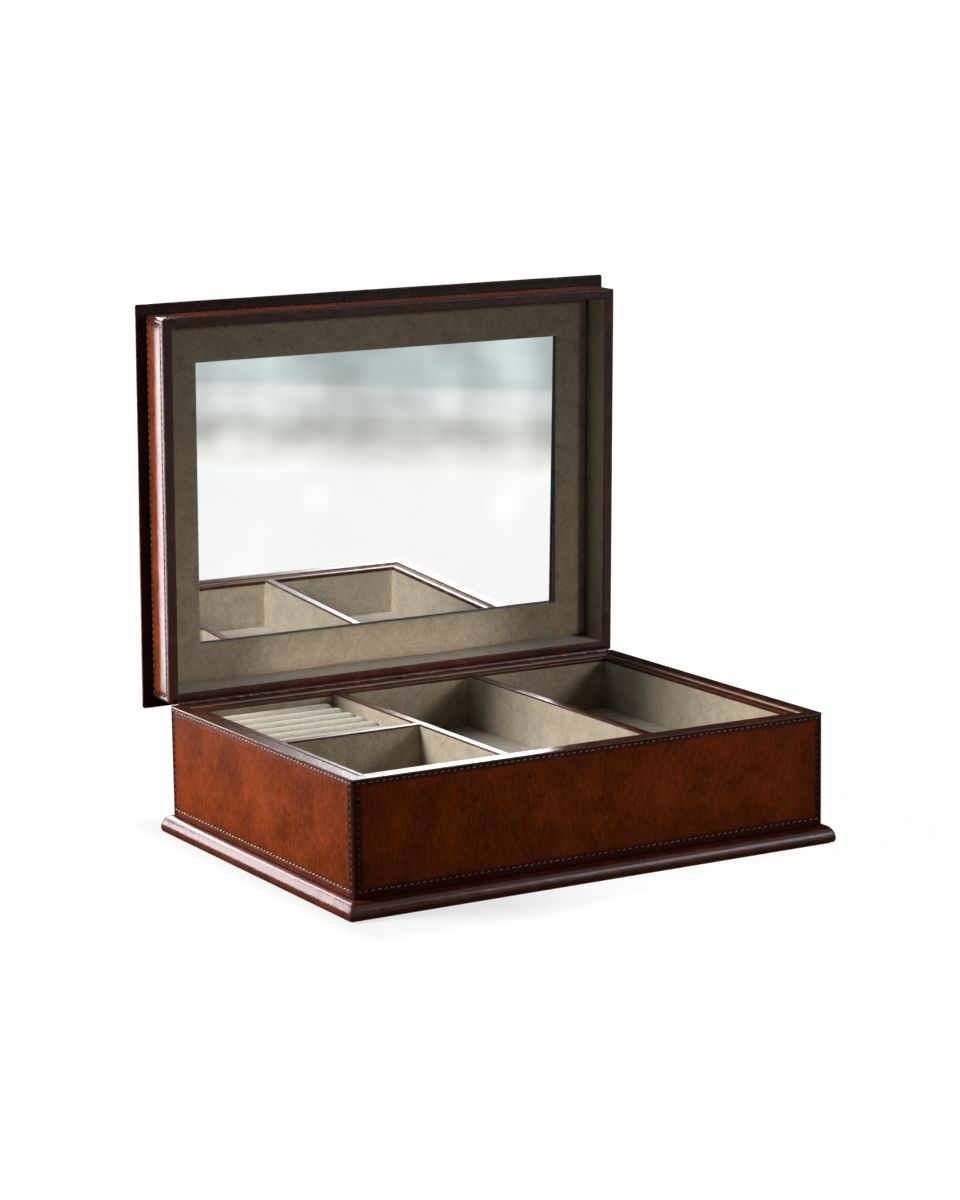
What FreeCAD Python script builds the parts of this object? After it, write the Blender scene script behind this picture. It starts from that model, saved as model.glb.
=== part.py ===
import FreeCAD, Part
import math
import os

# Ring box covered in leather: a wooden body on a moulded plinth, a lift-out tray with three
# open bays and a bed of ring rolls, and a hinged lid with a framed mirror inside.
# Millimetres. X runs along the box, Y to the back, Z up; the origin is the middle of the
# underside. Lid parts are drawn shut and then turned about the hinge to the open rest pose.

V = FreeCAD.Vector

# Body
BODY_LENGTH = 287.0
BODY_DEPTH = 214.0
BODY_SIDE_HEIGHT = 62.0
FELT_THICKNESS = 0.8
FELT_INSET = 2.0
LEATHER_PANEL = 1.2
PANEL_CORNER_ROUND = 0.45
BODY_WOOD = 6.2
RIM_LEATHER = 0.8
RIM_OUTER_ROUND = 0.5
RIM_INNER_ROUND = 0.6
LINING = 0.8
LINING_BELOW_RIM = 1.0

# Plinth moulding, outward from the body faces and up from the felt
PLINTH_HEIGHT = 9.2
PLINTH_INWARD = 4.0
PLINTH_FOOT = 5.0
PLINTH_NOSE = 5.7
PLINTH_NOSE_UP = 1.9
PLINTH_SLOPE_FOOT = 5.2
PLINTH_SLOPE_FOOT_UP = 3.7
MOULDING_CORNER_ROUND = 1.2

# Tray and what carries it
BEARER_THICKNESS = 5.0
BEARER_HEIGHT = 27.0
LOWER_PAD_THICKNESS = 2.0
PAD_GAP = 0.3
TRAY_SIDE_GAP = 0.4
TRAY_BELOW_RIM = 1.0
TRAY_FLOOR = 3.0
TRAY_WALL_WOOD = 4.1
TRAY_CAP = 1.0
TRAY_CAP_TURN_DOWN = 2.3
CAP_OUTER_ROUND = 0.35
CAP_INNER_ROUND = 0.6
BAY_PAD_THICKNESS = 1.5

# Dividers: middles along X or Y, and one width over the suede
DIVIDER_WIDTH = 5.4
LEFT_DIVIDER_X = -47.1
RIGHT_DIVIDER_X = 40.4
CROSS_DIVIDER_Y = -4.7

# Ring rolls
ROLL_COUNT = 7
ROLL_SIDE_GAP = 0.44
ROLL_END_GAP = 2.0
ROLL_CREST_BELOW_TRAY_TOP = 2.3
RING_BED_THICKNESS = 12.0

# Lid
LID_RIM_GAP = 0.3
LID_SIDE_HEIGHT = 22.2
LID_TOP_THICKNESS = 6.0
LID_WOOD = 3.8
LID_OPEN_ANGLE = 88.35
LID_MOULDING_INWARD = 3.0
LID_MOULDING_REACH = 5.8
LID_MOULDING_LEDGE_ROUND = 0.5
LID_MOULDING_STRAIGHT = 1.7
LID_MOULDING_SHOULDER_ROUND = 1.5
LID_MOULDING_TOP_REACH = 2.2
LID_MOULDING_TOP_ROUND = 2.0
TOP_PANEL_GAP = 0.15

# Mirror and the suede board that frames it
MIRROR_BOARD_DEPTH = 17.6
MIRROR_BOARD_EDGE_GAP = 1.6
MIRROR_BOARD_FACE = 3.4
MIRROR_BORDER = 27.9
MIRROR_LAP = 6.0
MIRROR_GAP = 0.5
GLASS_THICKNESS = 2.0

# Stop hinges
HINGE_AXIS_BELOW_RIM = 0.1
HINGE_X = 85.0
HINGE_LENGTH = 24.0
HINGE_MIDDLE_KNUCKLE = 8.4
HINGE_END_PLAY = 0.3
KNUCKLE_RADIUS = 1.8
PIN_RADIUS = 0.9
PIN_RUNNING_CLEARANCE = 0.04
KNUCKLE_CLEARANCE = 0.3
LEAF_THICKNESS = 1.0
LEAF_WIDTH = 4.9
STOP_REACH = 5.0
STOP_THICKNESS = 1.2
STOP_DIRECTION = -45.0
STOP_GAP = 0.06
SCREW_SETBACK = 3.3
SCREW_SPACING = 9.0
SCREW_HEAD_RADIUS = 1.15
SCREW_HEAD_DEPTH = 0.9
SCREW_SHANK_RADIUS = 0.6
SCREW_LENGTH = 8.0
SCREW_POINT = 1.2
SCREW_SLOT_WIDTH = 0.35
SCREW_SLOT_DEPTH = 0.35

# Leather piping laid into the back rim, beside the hinge line
PIPING_RADIUS = 0.45
PIPING_SETBACK = 2.8
PIPING_PROUD = 0.2
PIPING_END_INSET = 3.6

# Cutting room for tools that only have to reach past what they cut
MITRE_REACH = 20.0

# Levels and outlines that follow from the sizes above
HALF_LENGTH = BODY_LENGTH / 2
HALF_DEPTH = BODY_DEPTH / 2
BODY_BASE_Z = FELT_THICKNESS + PLINTH_HEIGHT
RIM_TOP_Z = BODY_BASE_Z + BODY_SIDE_HEIGHT
RIM_UNDER_Z = RIM_TOP_Z - RIM_LEATHER
WOOD_IN = LEATHER_PANEL + BODY_WOOD
LINING_IN = WOOD_IN + LINING
TRAY_OUT = LINING_IN + TRAY_SIDE_GAP
TRAY_WOOD_IN = TRAY_OUT + TRAY_WALL_WOOD
TRAY_IN = TRAY_WOOD_IN + LINING
TRAY_BASE_Z = BODY_BASE_Z + BEARER_HEIGHT
TRAY_FLOOR_Z = TRAY_BASE_Z + TRAY_FLOOR
TRAY_TOP_Z = RIM_TOP_Z - TRAY_BELOW_RIM
CAP_UNDER_Z = TRAY_TOP_Z - TRAY_CAP
BAY_END_X = HALF_LENGTH - TRAY_IN
BAY_END_Y = HALF_DEPTH - TRAY_IN
HALF_DIVIDER = DIVIDER_WIDTH / 2
LID_RIM_Z = RIM_TOP_Z + LID_RIM_GAP
LID_WOOD_Z = LID_RIM_Z + RIM_LEATHER
LEDGE_Z = LID_RIM_Z + LID_SIDE_HEIGHT
LID_TOP_Z = LEDGE_Z + LID_TOP_THICKNESS
LID_WOOD_IN = LEATHER_PANEL + LID_WOOD
LID_LINING_IN = LID_WOOD_IN + LINING
MIRROR_BOARD_Z = LID_RIM_Z + MIRROR_BOARD_DEPTH
GLASS_FACE_Z = MIRROR_BOARD_Z + MIRROR_BOARD_FACE
GLASS_BACK_Z = GLASS_FACE_Z + GLASS_THICKNESS
HINGE_Y = HALF_DEPTH
HINGE_Z = RIM_TOP_Z - HINGE_AXIS_BELOW_RIM
POCKET_RADIUS = KNUCKLE_RADIUS + KNUCKLE_CLEARANCE

SIDE_TURNS = {"front": 0, "right": 90, "back": 180, "left": 270}

# The inner faces of each bay of the tray: x from, x to, y from, y to
BAYS = {
    "ring_bay": (-BAY_END_X, LEFT_DIVIDER_X - HALF_DIVIDER, CROSS_DIVIDER_Y + HALF_DIVIDER, BAY_END_Y),
    "front_left": (-BAY_END_X, LEFT_DIVIDER_X - HALF_DIVIDER, -BAY_END_Y, CROSS_DIVIDER_Y - HALF_DIVIDER),
    "middle": (LEFT_DIVIDER_X + HALF_DIVIDER, RIGHT_DIVIDER_X - HALF_DIVIDER, -BAY_END_Y, BAY_END_Y),
    "right": (RIGHT_DIVIDER_X + HALF_DIVIDER, BAY_END_X, -BAY_END_Y, BAY_END_Y),
}


# ---------------------------------------------------------------- shapes

def box(x0, x1, y0, y1, z0, z1):
    """Box between two corners."""
    return Part.makeBox(x1 - x0, y1 - y0, z1 - z0, V(x0, y0, z0))


def inset_box(inset, z0, z1):
    """Box that stands inside the body faces by one inset all round."""
    half_x = HALF_LENGTH - inset
    half_y = HALF_DEPTH - inset
    return box(-half_x, half_x, -half_y, half_y, z0, z1)


def inset_ring(outer_inset, inner_inset, z0, z1):
    """Four-sided sleeve between two insets from the body faces."""
    return inset_box(outer_inset, z0, z1).cut(inset_box(inner_inset, z0, z1))


def rod(radius, x0, x1, y, z):
    """Round bar along X."""
    return Part.makeCylinder(radius, x1 - x0, V(x0, y, z), V(1, 0, 0))


def rounded_face(corners, to_space):
    """Face through corners given as (a, b, rounding radius) in the plane of to_space."""
    flat = [FreeCAD.Vector(a, b, 0) for a, b, radius in corners]
    arcs = []
    for index, (a, b, radius) in enumerate(corners):
        corner = flat[index]
        back = (flat[index - 1] - corner).normalize()
        ahead = (flat[(index + 1) % len(flat)] - corner).normalize()
        half_angle = back.getAngle(ahead) / 2
        reach = radius / math.tan(half_angle)
        inward = (back + ahead).normalize()
        middle = corner + inward * (radius / math.sin(half_angle) - radius)
        arcs.append((corner + back * reach, middle, corner + ahead * reach, radius))
    edges = []
    for index, (start, middle, end, radius) in enumerate(arcs):
        before = arcs[index - 1][2]
        edges.append(Part.makeLine(to_space(before.x, before.y), to_space(start.x, start.y)))
        if radius > 0:
            points = [to_space(point.x, point.y) for point in (start, middle, end)]
            edges.append(Part.Arc(*points).toShape())
    return Part.Face(Part.Wire(edges))


def plate(half_x, half_y, radius, z0, z1):
    """Flat plate with rounded corners."""
    corners = [
        (-half_x, -half_y, radius),
        (half_x, -half_y, radius),
        (half_x, half_y, radius),
        (-half_x, half_y, radius),
    ]
    face = rounded_face(corners, lambda x, y: V(x, y, z0))
    return face.extrude(V(0, 0, z1 - z0))


def half_sizes(side):
    """Half the run of a side and how far that side stands from the middle."""
    if side in ("front", "back"):
        return HALF_LENGTH, HALF_DEPTH
    return HALF_DEPTH, HALF_LENGTH


def placed(shape, side):
    """Turn something drawn on the front onto the side it belongs to."""
    turned = shape.copy()
    turned.rotate(V(0, 0, 0), V(0, 0, 1), SIDE_TURNS[side])
    return turned


def mitred_strip(section, side):
    """One strip of a mitred frame; section corners are (outward, height, radius)."""
    run, cross = half_sizes(side)
    start = -run - MITRE_REACH
    face = rounded_face(section, lambda outward, height: V(start, -cross - outward, height))
    bar = face.extrude(V(-2 * start, 0, 0))
    low = min(height for outward, height, radius in section)
    high = max(height for outward, height, radius in section)
    near = cross + MITRE_REACH
    far = cross - MITRE_REACH
    corners = [
        (start, -near, 0),
        (-start, -near, 0),
        (run - MITRE_REACH, -far, 0),
        (MITRE_REACH - run, -far, 0),
    ]
    mask = rounded_face(corners, lambda x, y: V(x, y, low)).extrude(V(0, 0, high - low))
    return placed(bar.common(mask).Solids[0], side)


def square_section(outer_inset, inner_inset, z0, z1):
    """Plain rectangular section between two insets."""
    return [(-outer_inset, z0, 0), (-outer_inset, z1, 0), (-inner_inset, z1, 0), (-inner_inset, z0, 0)]


def leather_panel(side, z0, z1):
    """Leather face panel whose upright corner edges are rounded."""
    run, cross = half_sizes(side)
    corners = [
        (-run, -cross, PANEL_CORNER_ROUND),
        (run, -cross, PANEL_CORNER_ROUND),
        (run - LEATHER_PANEL, LEATHER_PANEL - cross, 0),
        (LEATHER_PANEL - run, LEATHER_PANEL - cross, 0),
    ]
    face = rounded_face(corners, lambda x, y: V(x, y, z0))
    return placed(face.extrude(V(0, 0, z1 - z0)), side)


def opened(shape):
    """Turn a lid part from shut to the open rest pose."""
    turned = shape.copy()
    turned.rotate(V(0, HINGE_Y, HINGE_Z), V(1, 0, 0), -LID_OPEN_ANGLE)
    return turned


def save(name, *solids):
    """Write one node; pieces of a kind share it as separate solids."""
    shape = solids[0] if len(solids) == 1 else Part.makeCompound(list(solids))
    shape.exportStep("parts/" + name + ".step")


# ---------------------------------------------------------------- hinges

def at_hinges(make):
    """The same hinge part at both hinge places."""
    pair = []
    for x in (-HINGE_X, HINGE_X):
        part = make()
        part.translate(V(x, HINGE_Y, HINGE_Z))
        pair.append(part)
    return pair


def end_knuckle_spans():
    """X spans of the two outer knuckles about the middle of a hinge."""
    inner = HINGE_MIDDLE_KNUCKLE / 2 + HINGE_END_PLAY
    return [(-HINGE_LENGTH / 2, -inner), (inner, HINGE_LENGTH / 2)]


def screw_blank(z, downward):
    """Countersunk screw without its slot; its head face lies at z."""
    sign = -1 if downward else 1
    along = V(0, 0, sign)
    head = Part.makeCone(SCREW_HEAD_RADIUS, SCREW_SHANK_RADIUS, SCREW_HEAD_DEPTH, V(0, 0, z), along)
    shank_length = SCREW_LENGTH - SCREW_HEAD_DEPTH - SCREW_POINT
    shank_start = V(0, 0, z + sign * SCREW_HEAD_DEPTH)
    shank = Part.makeCylinder(SCREW_SHANK_RADIUS, shank_length, shank_start, along)
    point_start = V(0, 0, z + sign * (SCREW_LENGTH - SCREW_POINT))
    point = Part.makeCone(SCREW_SHANK_RADIUS, 0, SCREW_POINT, point_start, along)
    return head.fuse([shank, point]).removeSplitter()


def screws_of_leaf(z, downward, slotted):
    """Three screws of one leaf, about the middle of the hinge axis."""
    row = []
    for step in (-1, 0, 1):
        screw = screw_blank(z, downward)
        if slotted:
            deep = SCREW_SLOT_DEPTH
            half_width = SCREW_SLOT_WIDTH / 2
            reach = SCREW_HEAD_RADIUS
            slot = box(-reach, reach, -half_width, half_width, z - deep, z + deep)
            screw = screw.cut(slot)
        screw.translate(V(step * SCREW_SPACING, -SCREW_SETBACK, 0))
        row.append(screw)
    return row


BASE_LEAF_TOP = RIM_UNDER_Z - HINGE_Z
LID_LEAF_UNDER = LID_WOOD_Z - HINGE_Z


def leaf_plate(z0):
    """Flat of a leaf, from the hinge axis forward."""
    half = HINGE_LENGTH / 2
    return box(-half, half, -LEAF_WIDTH, 0, z0, z0 + LEAF_THICKNESS)


def base_leaf_plate():
    return leaf_plate(BASE_LEAF_TOP - LEAF_THICKNESS)


def lid_leaf_plate():
    return leaf_plate(LID_LEAF_UNDER)


def stop_fin(half_length, below, angle):
    """Stop fin lying against one side of the meeting plane, turned to its angle."""
    low = -STOP_GAP / 2 - STOP_THICKNESS if below else STOP_GAP / 2
    fin = box(-half_length, half_length, 0, STOP_REACH, low, low + STOP_THICKNESS)
    fin.rotate(V(0, 0, 0), V(1, 0, 0), angle)
    return fin


def base_leaf():
    """Leaf screwed to the body, with the two outer knuckles and the lower stop fin."""
    body = base_leaf_plate().fuse(stop_fin(HINGE_LENGTH / 2, True, STOP_DIRECTION))
    body = body.fuse([rod(KNUCKLE_RADIUS, x0, x1, 0, 0) for x0, x1 in end_knuckle_spans()])
    clear_half = HINGE_MIDDLE_KNUCKLE / 2 + HINGE_END_PLAY
    body = body.cut(rod(POCKET_RADIUS, -clear_half, clear_half, 0, 0))
    body = body.cut(rod(PIN_RADIUS, -HINGE_LENGTH, HINGE_LENGTH, 0, 0))
    for screw in screws_of_leaf(BASE_LEAF_TOP, True, False):
        body = body.cut(screw)
    return body.removeSplitter().Solids[0]


def lid_leaf():
    """Leaf screwed to the lid, with the middle knuckle and the upper stop fin."""
    half = HINGE_MIDDLE_KNUCKLE / 2
    body = lid_leaf_plate().fuse(rod(KNUCKLE_RADIUS, -half, half, 0, 0))
    body = body.fuse(stop_fin(half, False, STOP_DIRECTION + LID_OPEN_ANGLE))
    outer = HINGE_LENGTH / 2
    body = body.cut([rod(POCKET_RADIUS, -outer, -half, 0, 0), rod(POCKET_RADIUS, half, outer, 0, 0)])
    bore = PIN_RADIUS + PIN_RUNNING_CLEARANCE
    body = body.cut(rod(bore, -HINGE_LENGTH, HINGE_LENGTH, 0, 0))
    for screw in screws_of_leaf(LID_LEAF_UNDER, False, False):
        body = body.cut(screw)
    return body.removeSplitter().Solids[0]


def knuckle_pocket():
    """Room around the knuckles, cut from body and lid alike."""
    half = HINGE_LENGTH / 2 + KNUCKLE_CLEARANCE
    return rod(POCKET_RADIUS, -half, half, 0, 0)


def base_leaf_seat():
    """What the body gives up for a hinge: leaf recess, knuckle pocket, screw holes."""
    cutters = [base_leaf_plate(), knuckle_pocket()]
    return Part.makeCompound(cutters + screws_of_leaf(BASE_LEAF_TOP, True, False))


def lid_leaf_seat():
    """What the lid gives up for a hinge."""
    cutters = [lid_leaf_plate(), knuckle_pocket()]
    return Part.makeCompound(cutters + screws_of_leaf(LID_LEAF_UNDER, False, False))


def cut_all(shape, seats):
    """Cut every solid of the given seats from a shape."""
    for seat in seats:
        for cutter in seat.Solids:
            shape = shape.cut(cutter)
    return shape.Solids[0]


# ---------------------------------------------------------------- body

def base_felt():
    inset = FELT_INSET - PLINTH_FOOT
    return inset_box(inset, 0, FELT_THICKNESS)


def base_board():
    return inset_box(PLINTH_INWARD, FELT_THICKNESS, BODY_BASE_Z)


def plinth(side):
    """Leather-wrapped moulding: flat on top, sloping out to a rounded nose."""
    section = [
        (-PLINTH_INWARD, FELT_THICKNESS, 0),
        (-PLINTH_INWARD, BODY_BASE_Z, 0),
        (0, BODY_BASE_Z, 0),
        (PLINTH_SLOPE_FOOT, FELT_THICKNESS + PLINTH_SLOPE_FOOT_UP, RIM_OUTER_ROUND),
        (PLINTH_NOSE, FELT_THICKNESS + PLINTH_NOSE_UP, RIM_OUTER_ROUND),
        (PLINTH_FOOT, FELT_THICKNESS, 0),
    ]
    half_x = HALF_LENGTH + PLINTH_NOSE
    half_y = HALF_DEPTH + PLINTH_NOSE
    outline = plate(half_x, half_y, MOULDING_CORNER_ROUND, FELT_THICKNESS, BODY_BASE_Z)
    return mitred_strip(section, side).common(outline).Solids[0]


def carcass(side):
    strip = mitred_strip(square_section(LEATHER_PANEL, WOOD_IN, BODY_BASE_Z, RIM_UNDER_Z), side)
    if side == "back":
        return cut_all(strip, at_hinges(base_leaf_seat))
    return strip


def body_panel(side):
    panel = leather_panel(side, BODY_BASE_Z, RIM_UNDER_Z)
    if side == "back":
        return cut_all(panel, at_hinges(base_leaf_seat))
    return panel


def hinge_piping():
    half = HALF_LENGTH - PIPING_END_INSET
    z = RIM_TOP_Z + PIPING_PROUD - PIPING_RADIUS
    return rod(PIPING_RADIUS, -half, half, HALF_DEPTH - PIPING_SETBACK, z)


def body_rim(side):
    section = [
        (0, RIM_UNDER_Z, 0),
        (0, RIM_TOP_Z, RIM_OUTER_ROUND),
        (-WOOD_IN, RIM_TOP_Z, RIM_INNER_ROUND),
        (-WOOD_IN, RIM_UNDER_Z, 0),
    ]
    strip = mitred_strip(section, side)
    if side == "back":
        strip = strip.cut(hinge_piping())
        return cut_all(strip, at_hinges(knuckle_pocket))
    return strip


def base_lining():
    return inset_ring(WOOD_IN, LINING_IN, BODY_BASE_Z, RIM_TOP_Z - LINING_BELOW_RIM)


def tray_bearers():
    """Four ledge strips that carry the tray."""
    long_x = HALF_LENGTH - LINING_IN
    outer_y = HALF_DEPTH - LINING_IN
    inner_y = outer_y - BEARER_THICKNESS
    inner_x = long_x - BEARER_THICKNESS
    spans = [
        (-long_x, long_x, -outer_y, -inner_y),
        (-long_x, long_x, inner_y, outer_y),
        (-long_x, -inner_x, -inner_y, inner_y),
        (inner_x, long_x, -inner_y, inner_y),
    ]
    return [box(x0, x1, y0, y1, BODY_BASE_Z, TRAY_BASE_Z) for x0, x1, y0, y1 in spans]


def lower_pad():
    inset = LINING_IN + BEARER_THICKNESS + PAD_GAP
    return inset_box(inset, BODY_BASE_Z, BODY_BASE_Z + LOWER_PAD_THICKNESS)


# ---------------------------------------------------------------- tray

def tray_floor():
    return inset_box(TRAY_OUT, TRAY_BASE_Z, TRAY_FLOOR_Z)


def tray_wall(side):
    return mitred_strip(square_section(TRAY_OUT, TRAY_WOOD_IN, TRAY_FLOOR_Z, CAP_UNDER_Z), side)


def tray_cap(side):
    """Leather over the wall top, turned down the inner face."""
    turn_down_z = TRAY_TOP_Z - TRAY_CAP_TURN_DOWN
    section = [
        (-TRAY_OUT, CAP_UNDER_Z, 0),
        (-TRAY_OUT, TRAY_TOP_Z, CAP_OUTER_ROUND),
        (-TRAY_IN, TRAY_TOP_Z, CAP_INNER_ROUND),
        (-TRAY_IN, turn_down_z, 0),
        (-TRAY_WOOD_IN, turn_down_z, 0),
        (-TRAY_WOOD_IN, CAP_UNDER_Z, 0),
    ]
    return mitred_strip(section, side)


def under_caps(shape):
    """Take the turned-down edges of the wall caps out of a shape."""
    turn_down_z = TRAY_TOP_Z - TRAY_CAP_TURN_DOWN
    return shape.cut(inset_ring(TRAY_WOOD_IN, TRAY_IN, turn_down_z, TRAY_TOP_Z)).Solids[0]


def divider_span(which, side_skin, end_skin):
    """Plan of a divider less a skin on its sides and plus a skin at its ends."""
    half = HALF_DIVIDER - side_skin
    if which == "cross":
        right = LEFT_DIVIDER_X - HALF_DIVIDER + end_skin
        return -BAY_END_X - end_skin, right, CROSS_DIVIDER_Y - half, CROSS_DIVIDER_Y + half
    x = LEFT_DIVIDER_X if which == "left" else RIGHT_DIVIDER_X
    return x - half, x + half, -BAY_END_Y - end_skin, BAY_END_Y + end_skin


def divider(which):
    return under_caps(box(*divider_span(which, LINING, LINING), TRAY_FLOOR_Z, CAP_UNDER_Z))


def divider_cap(which):
    """Flat leather cap with both long top edges eased."""
    x0, x1, y0, y1 = divider_span(which, 0, 0)
    if which == "cross":
        corners = [(y0, CAP_UNDER_Z, 0), (y1, CAP_UNDER_Z, 0)]
        corners += [(y1, TRAY_TOP_Z, CAP_OUTER_ROUND), (y0, TRAY_TOP_Z, CAP_OUTER_ROUND)]
        return rounded_face(corners, lambda y, z: V(x0, y, z)).extrude(V(x1 - x0, 0, 0))
    corners = [(x0, CAP_UNDER_Z, 0), (x1, CAP_UNDER_Z, 0)]
    corners += [(x1, TRAY_TOP_Z, CAP_OUTER_ROUND), (x0, TRAY_TOP_Z, CAP_OUTER_ROUND)]
    return rounded_face(corners, lambda x, z: V(x, y0, z)).extrude(V(0, y1 - y0, 0))


def bay_lining(bay):
    """Suede sleeve folded round the four walls of a bay."""
    x0, x1, y0, y1 = BAYS[bay]
    outer = box(x0 - LINING, x1 + LINING, y0 - LINING, y1 + LINING, TRAY_FLOOR_Z, CAP_UNDER_Z)
    return under_caps(outer.cut(box(x0, x1, y0, y1, TRAY_FLOOR_Z, CAP_UNDER_Z)))


def bay_filling(bay, thickness):
    """Pad or bed that lies on the tray floor inside a bay."""
    x0, x1, y0, y1 = BAYS[bay]
    top = TRAY_FLOOR_Z + thickness
    return box(x0 + PAD_GAP, x1 - PAD_GAP, y0 + PAD_GAP, y1 - PAD_GAP, TRAY_FLOOR_Z, top)


def ring_rolls():
    """Padded rolls side by side: flat underneath, half round on top."""
    x0, x1, y0, y1 = BAYS["ring_bay"]
    pitch = (y1 - y0) / ROLL_COUNT
    radius = (pitch - ROLL_SIDE_GAP) / 2
    bottom = TRAY_FLOOR_Z + RING_BED_THICKNESS
    crest = TRAY_TOP_Z - ROLL_CREST_BELOW_TRAY_TOP
    start = x0 + ROLL_END_GAP
    length = x1 - x0 - 2 * ROLL_END_GAP
    rolls = []
    for index in range(ROLL_COUNT):
        middle = y0 + pitch * (index + 0.5)
        foot_near = V(start, middle - radius, bottom)
        foot_far = V(start, middle + radius, bottom)
        spring_near = V(start, middle - radius, crest - radius)
        spring_far = V(start, middle + radius, crest - radius)
        arch = Part.Arc(spring_far, V(start, middle, crest), spring_near).toShape()
        flats = [
            Part.makeLine(foot_near, foot_far),
            Part.makeLine(foot_far, spring_far),
            Part.makeLine(spring_near, foot_near),
        ]
        wire = Part.Wire([flats[0], flats[1], arch, flats[2]])
        rolls.append(Part.Face(wire).extrude(V(length, 0, 0)))
    return rolls


# ---------------------------------------------------------------- lid, drawn shut

def lid_board():
    board = inset_box(LID_MOULDING_INWARD, LEDGE_Z, LID_TOP_Z - LEATHER_PANEL)
    seat_inset = MIRROR_BORDER - MIRROR_LAP - MIRROR_GAP
    return board.cut(inset_box(seat_inset, LEDGE_Z, GLASS_BACK_Z))


def lid_top_panel():
    inset = LID_MOULDING_INWARD + TOP_PANEL_GAP
    return inset_box(inset, LID_TOP_Z - LEATHER_PANEL, LID_TOP_Z)


def lid_moulding(side):
    """Leather-wrapped edge moulding: a ledge below, rounded in towards the top."""
    section = [
        (-LID_MOULDING_INWARD, LEDGE_Z, 0),
        (LID_MOULDING_REACH, LEDGE_Z, LID_MOULDING_LEDGE_ROUND),
        (LID_MOULDING_REACH, LEDGE_Z + LID_MOULDING_STRAIGHT, LID_MOULDING_SHOULDER_ROUND),
        (LID_MOULDING_TOP_REACH, LID_TOP_Z, LID_MOULDING_TOP_ROUND),
        (-LID_MOULDING_INWARD, LID_TOP_Z, 0),
    ]
    half_x = HALF_LENGTH + LID_MOULDING_REACH
    half_y = HALF_DEPTH + LID_MOULDING_REACH
    outline = plate(half_x, half_y, MOULDING_CORNER_ROUND, LEDGE_Z, LID_TOP_Z)
    return mitred_strip(section, side).common(outline).Solids[0]


def lid_side(side):
    strip = mitred_strip(square_section(LEATHER_PANEL, LID_WOOD_IN, LID_WOOD_Z, LEDGE_Z), side)
    if side == "back":
        return cut_all(strip, at_hinges(lid_leaf_seat))
    return strip


def lid_panel(side):
    panel = leather_panel(side, LID_WOOD_Z, LEDGE_Z)
    if side == "back":
        return cut_all(panel, at_hinges(lid_leaf_seat))
    return panel


def lid_rim(side):
    section = [
        (0, LID_WOOD_Z, 0),
        (0, LID_RIM_Z, RIM_OUTER_ROUND),
        (-LID_LINING_IN, LID_RIM_Z, RIM_INNER_ROUND),
        (-LID_LINING_IN, LID_WOOD_Z, 0),
    ]
    strip = mitred_strip(section, side)
    if side == "back":
        return cut_all(strip, at_hinges(knuckle_pocket))
    return strip


def lid_lining():
    return inset_ring(LID_WOOD_IN, LID_LINING_IN, LID_WOOD_Z, LEDGE_Z)


def mirror_board():
    """Suede-covered board with the mirror window and a rebate for the glass behind it."""
    board = inset_box(LID_LINING_IN + MIRROR_BOARD_EDGE_GAP, MIRROR_BOARD_Z, LEDGE_Z)
    board = board.cut(inset_box(MIRROR_BORDER, MIRROR_BOARD_Z, LEDGE_Z))
    rebate = inset_box(MIRROR_BORDER - MIRROR_LAP - MIRROR_GAP, GLASS_FACE_Z, LEDGE_Z)
    return board.cut(rebate).removeSplitter().Solids[0]


def mirror_glass():
    return inset_box(MIRROR_BORDER - MIRROR_LAP, GLASS_FACE_Z, GLASS_BACK_Z)


# ---------------------------------------------------------------- nodes

def build_base():
    save("base_felt", base_felt())
    save("base_board", base_board())
    save("plinth_long", plinth("front"), plinth("back"))
    save("plinth_ends", plinth("left"), plinth("right"))
    save("carcass_front", carcass("front"))
    save("carcass_back", carcass("back"))
    save("carcass_ends", carcass("left"), carcass("right"))
    for side in SIDE_TURNS:
        save("panel_" + side, body_panel(side))
    save("rim_front", body_rim("front"))
    save("rim_back", body_rim("back"))
    save("rim_ends", body_rim("left"), body_rim("right"))
    save("base_lining", base_lining())
    save("tray_bearers", *tray_bearers())
    save("lower_pad", lower_pad())
    save("hinge_piping", hinge_piping())
    save("base_hinge_leaves", *at_hinges(base_leaf))
    half = HINGE_LENGTH / 2
    save("hinge_pins", *at_hinges(lambda: rod(PIN_RADIUS, -half, half, 0, 0)))
    rows = at_hinges(lambda: Part.makeCompound(screws_of_leaf(BASE_LEAF_TOP, True, True)))
    save("base_hinge_screws", *[screw for row in rows for screw in row.Solids])


def build_tray():
    save("tray_floor", tray_floor())
    save("tray_walls_long", tray_wall("front"), tray_wall("back"))
    save("tray_walls_ends", tray_wall("left"), tray_wall("right"))
    save("tray_caps_long", tray_cap("front"), tray_cap("back"))
    save("tray_caps_ends", tray_cap("left"), tray_cap("right"))
    for which in ("left", "right", "cross"):
        save("divider_" + which, divider(which))
        save("divider_cap_" + which, divider_cap(which))
    for bay in BAYS:
        save("lining_" + bay, bay_lining(bay))
    for bay in ("front_left", "middle", "right"):
        save("pad_" + bay, bay_filling(bay, BAY_PAD_THICKNESS))
    save("ring_bed", bay_filling("ring_bay", RING_BED_THICKNESS))
    save("ring_rolls", *ring_rolls())


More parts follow.
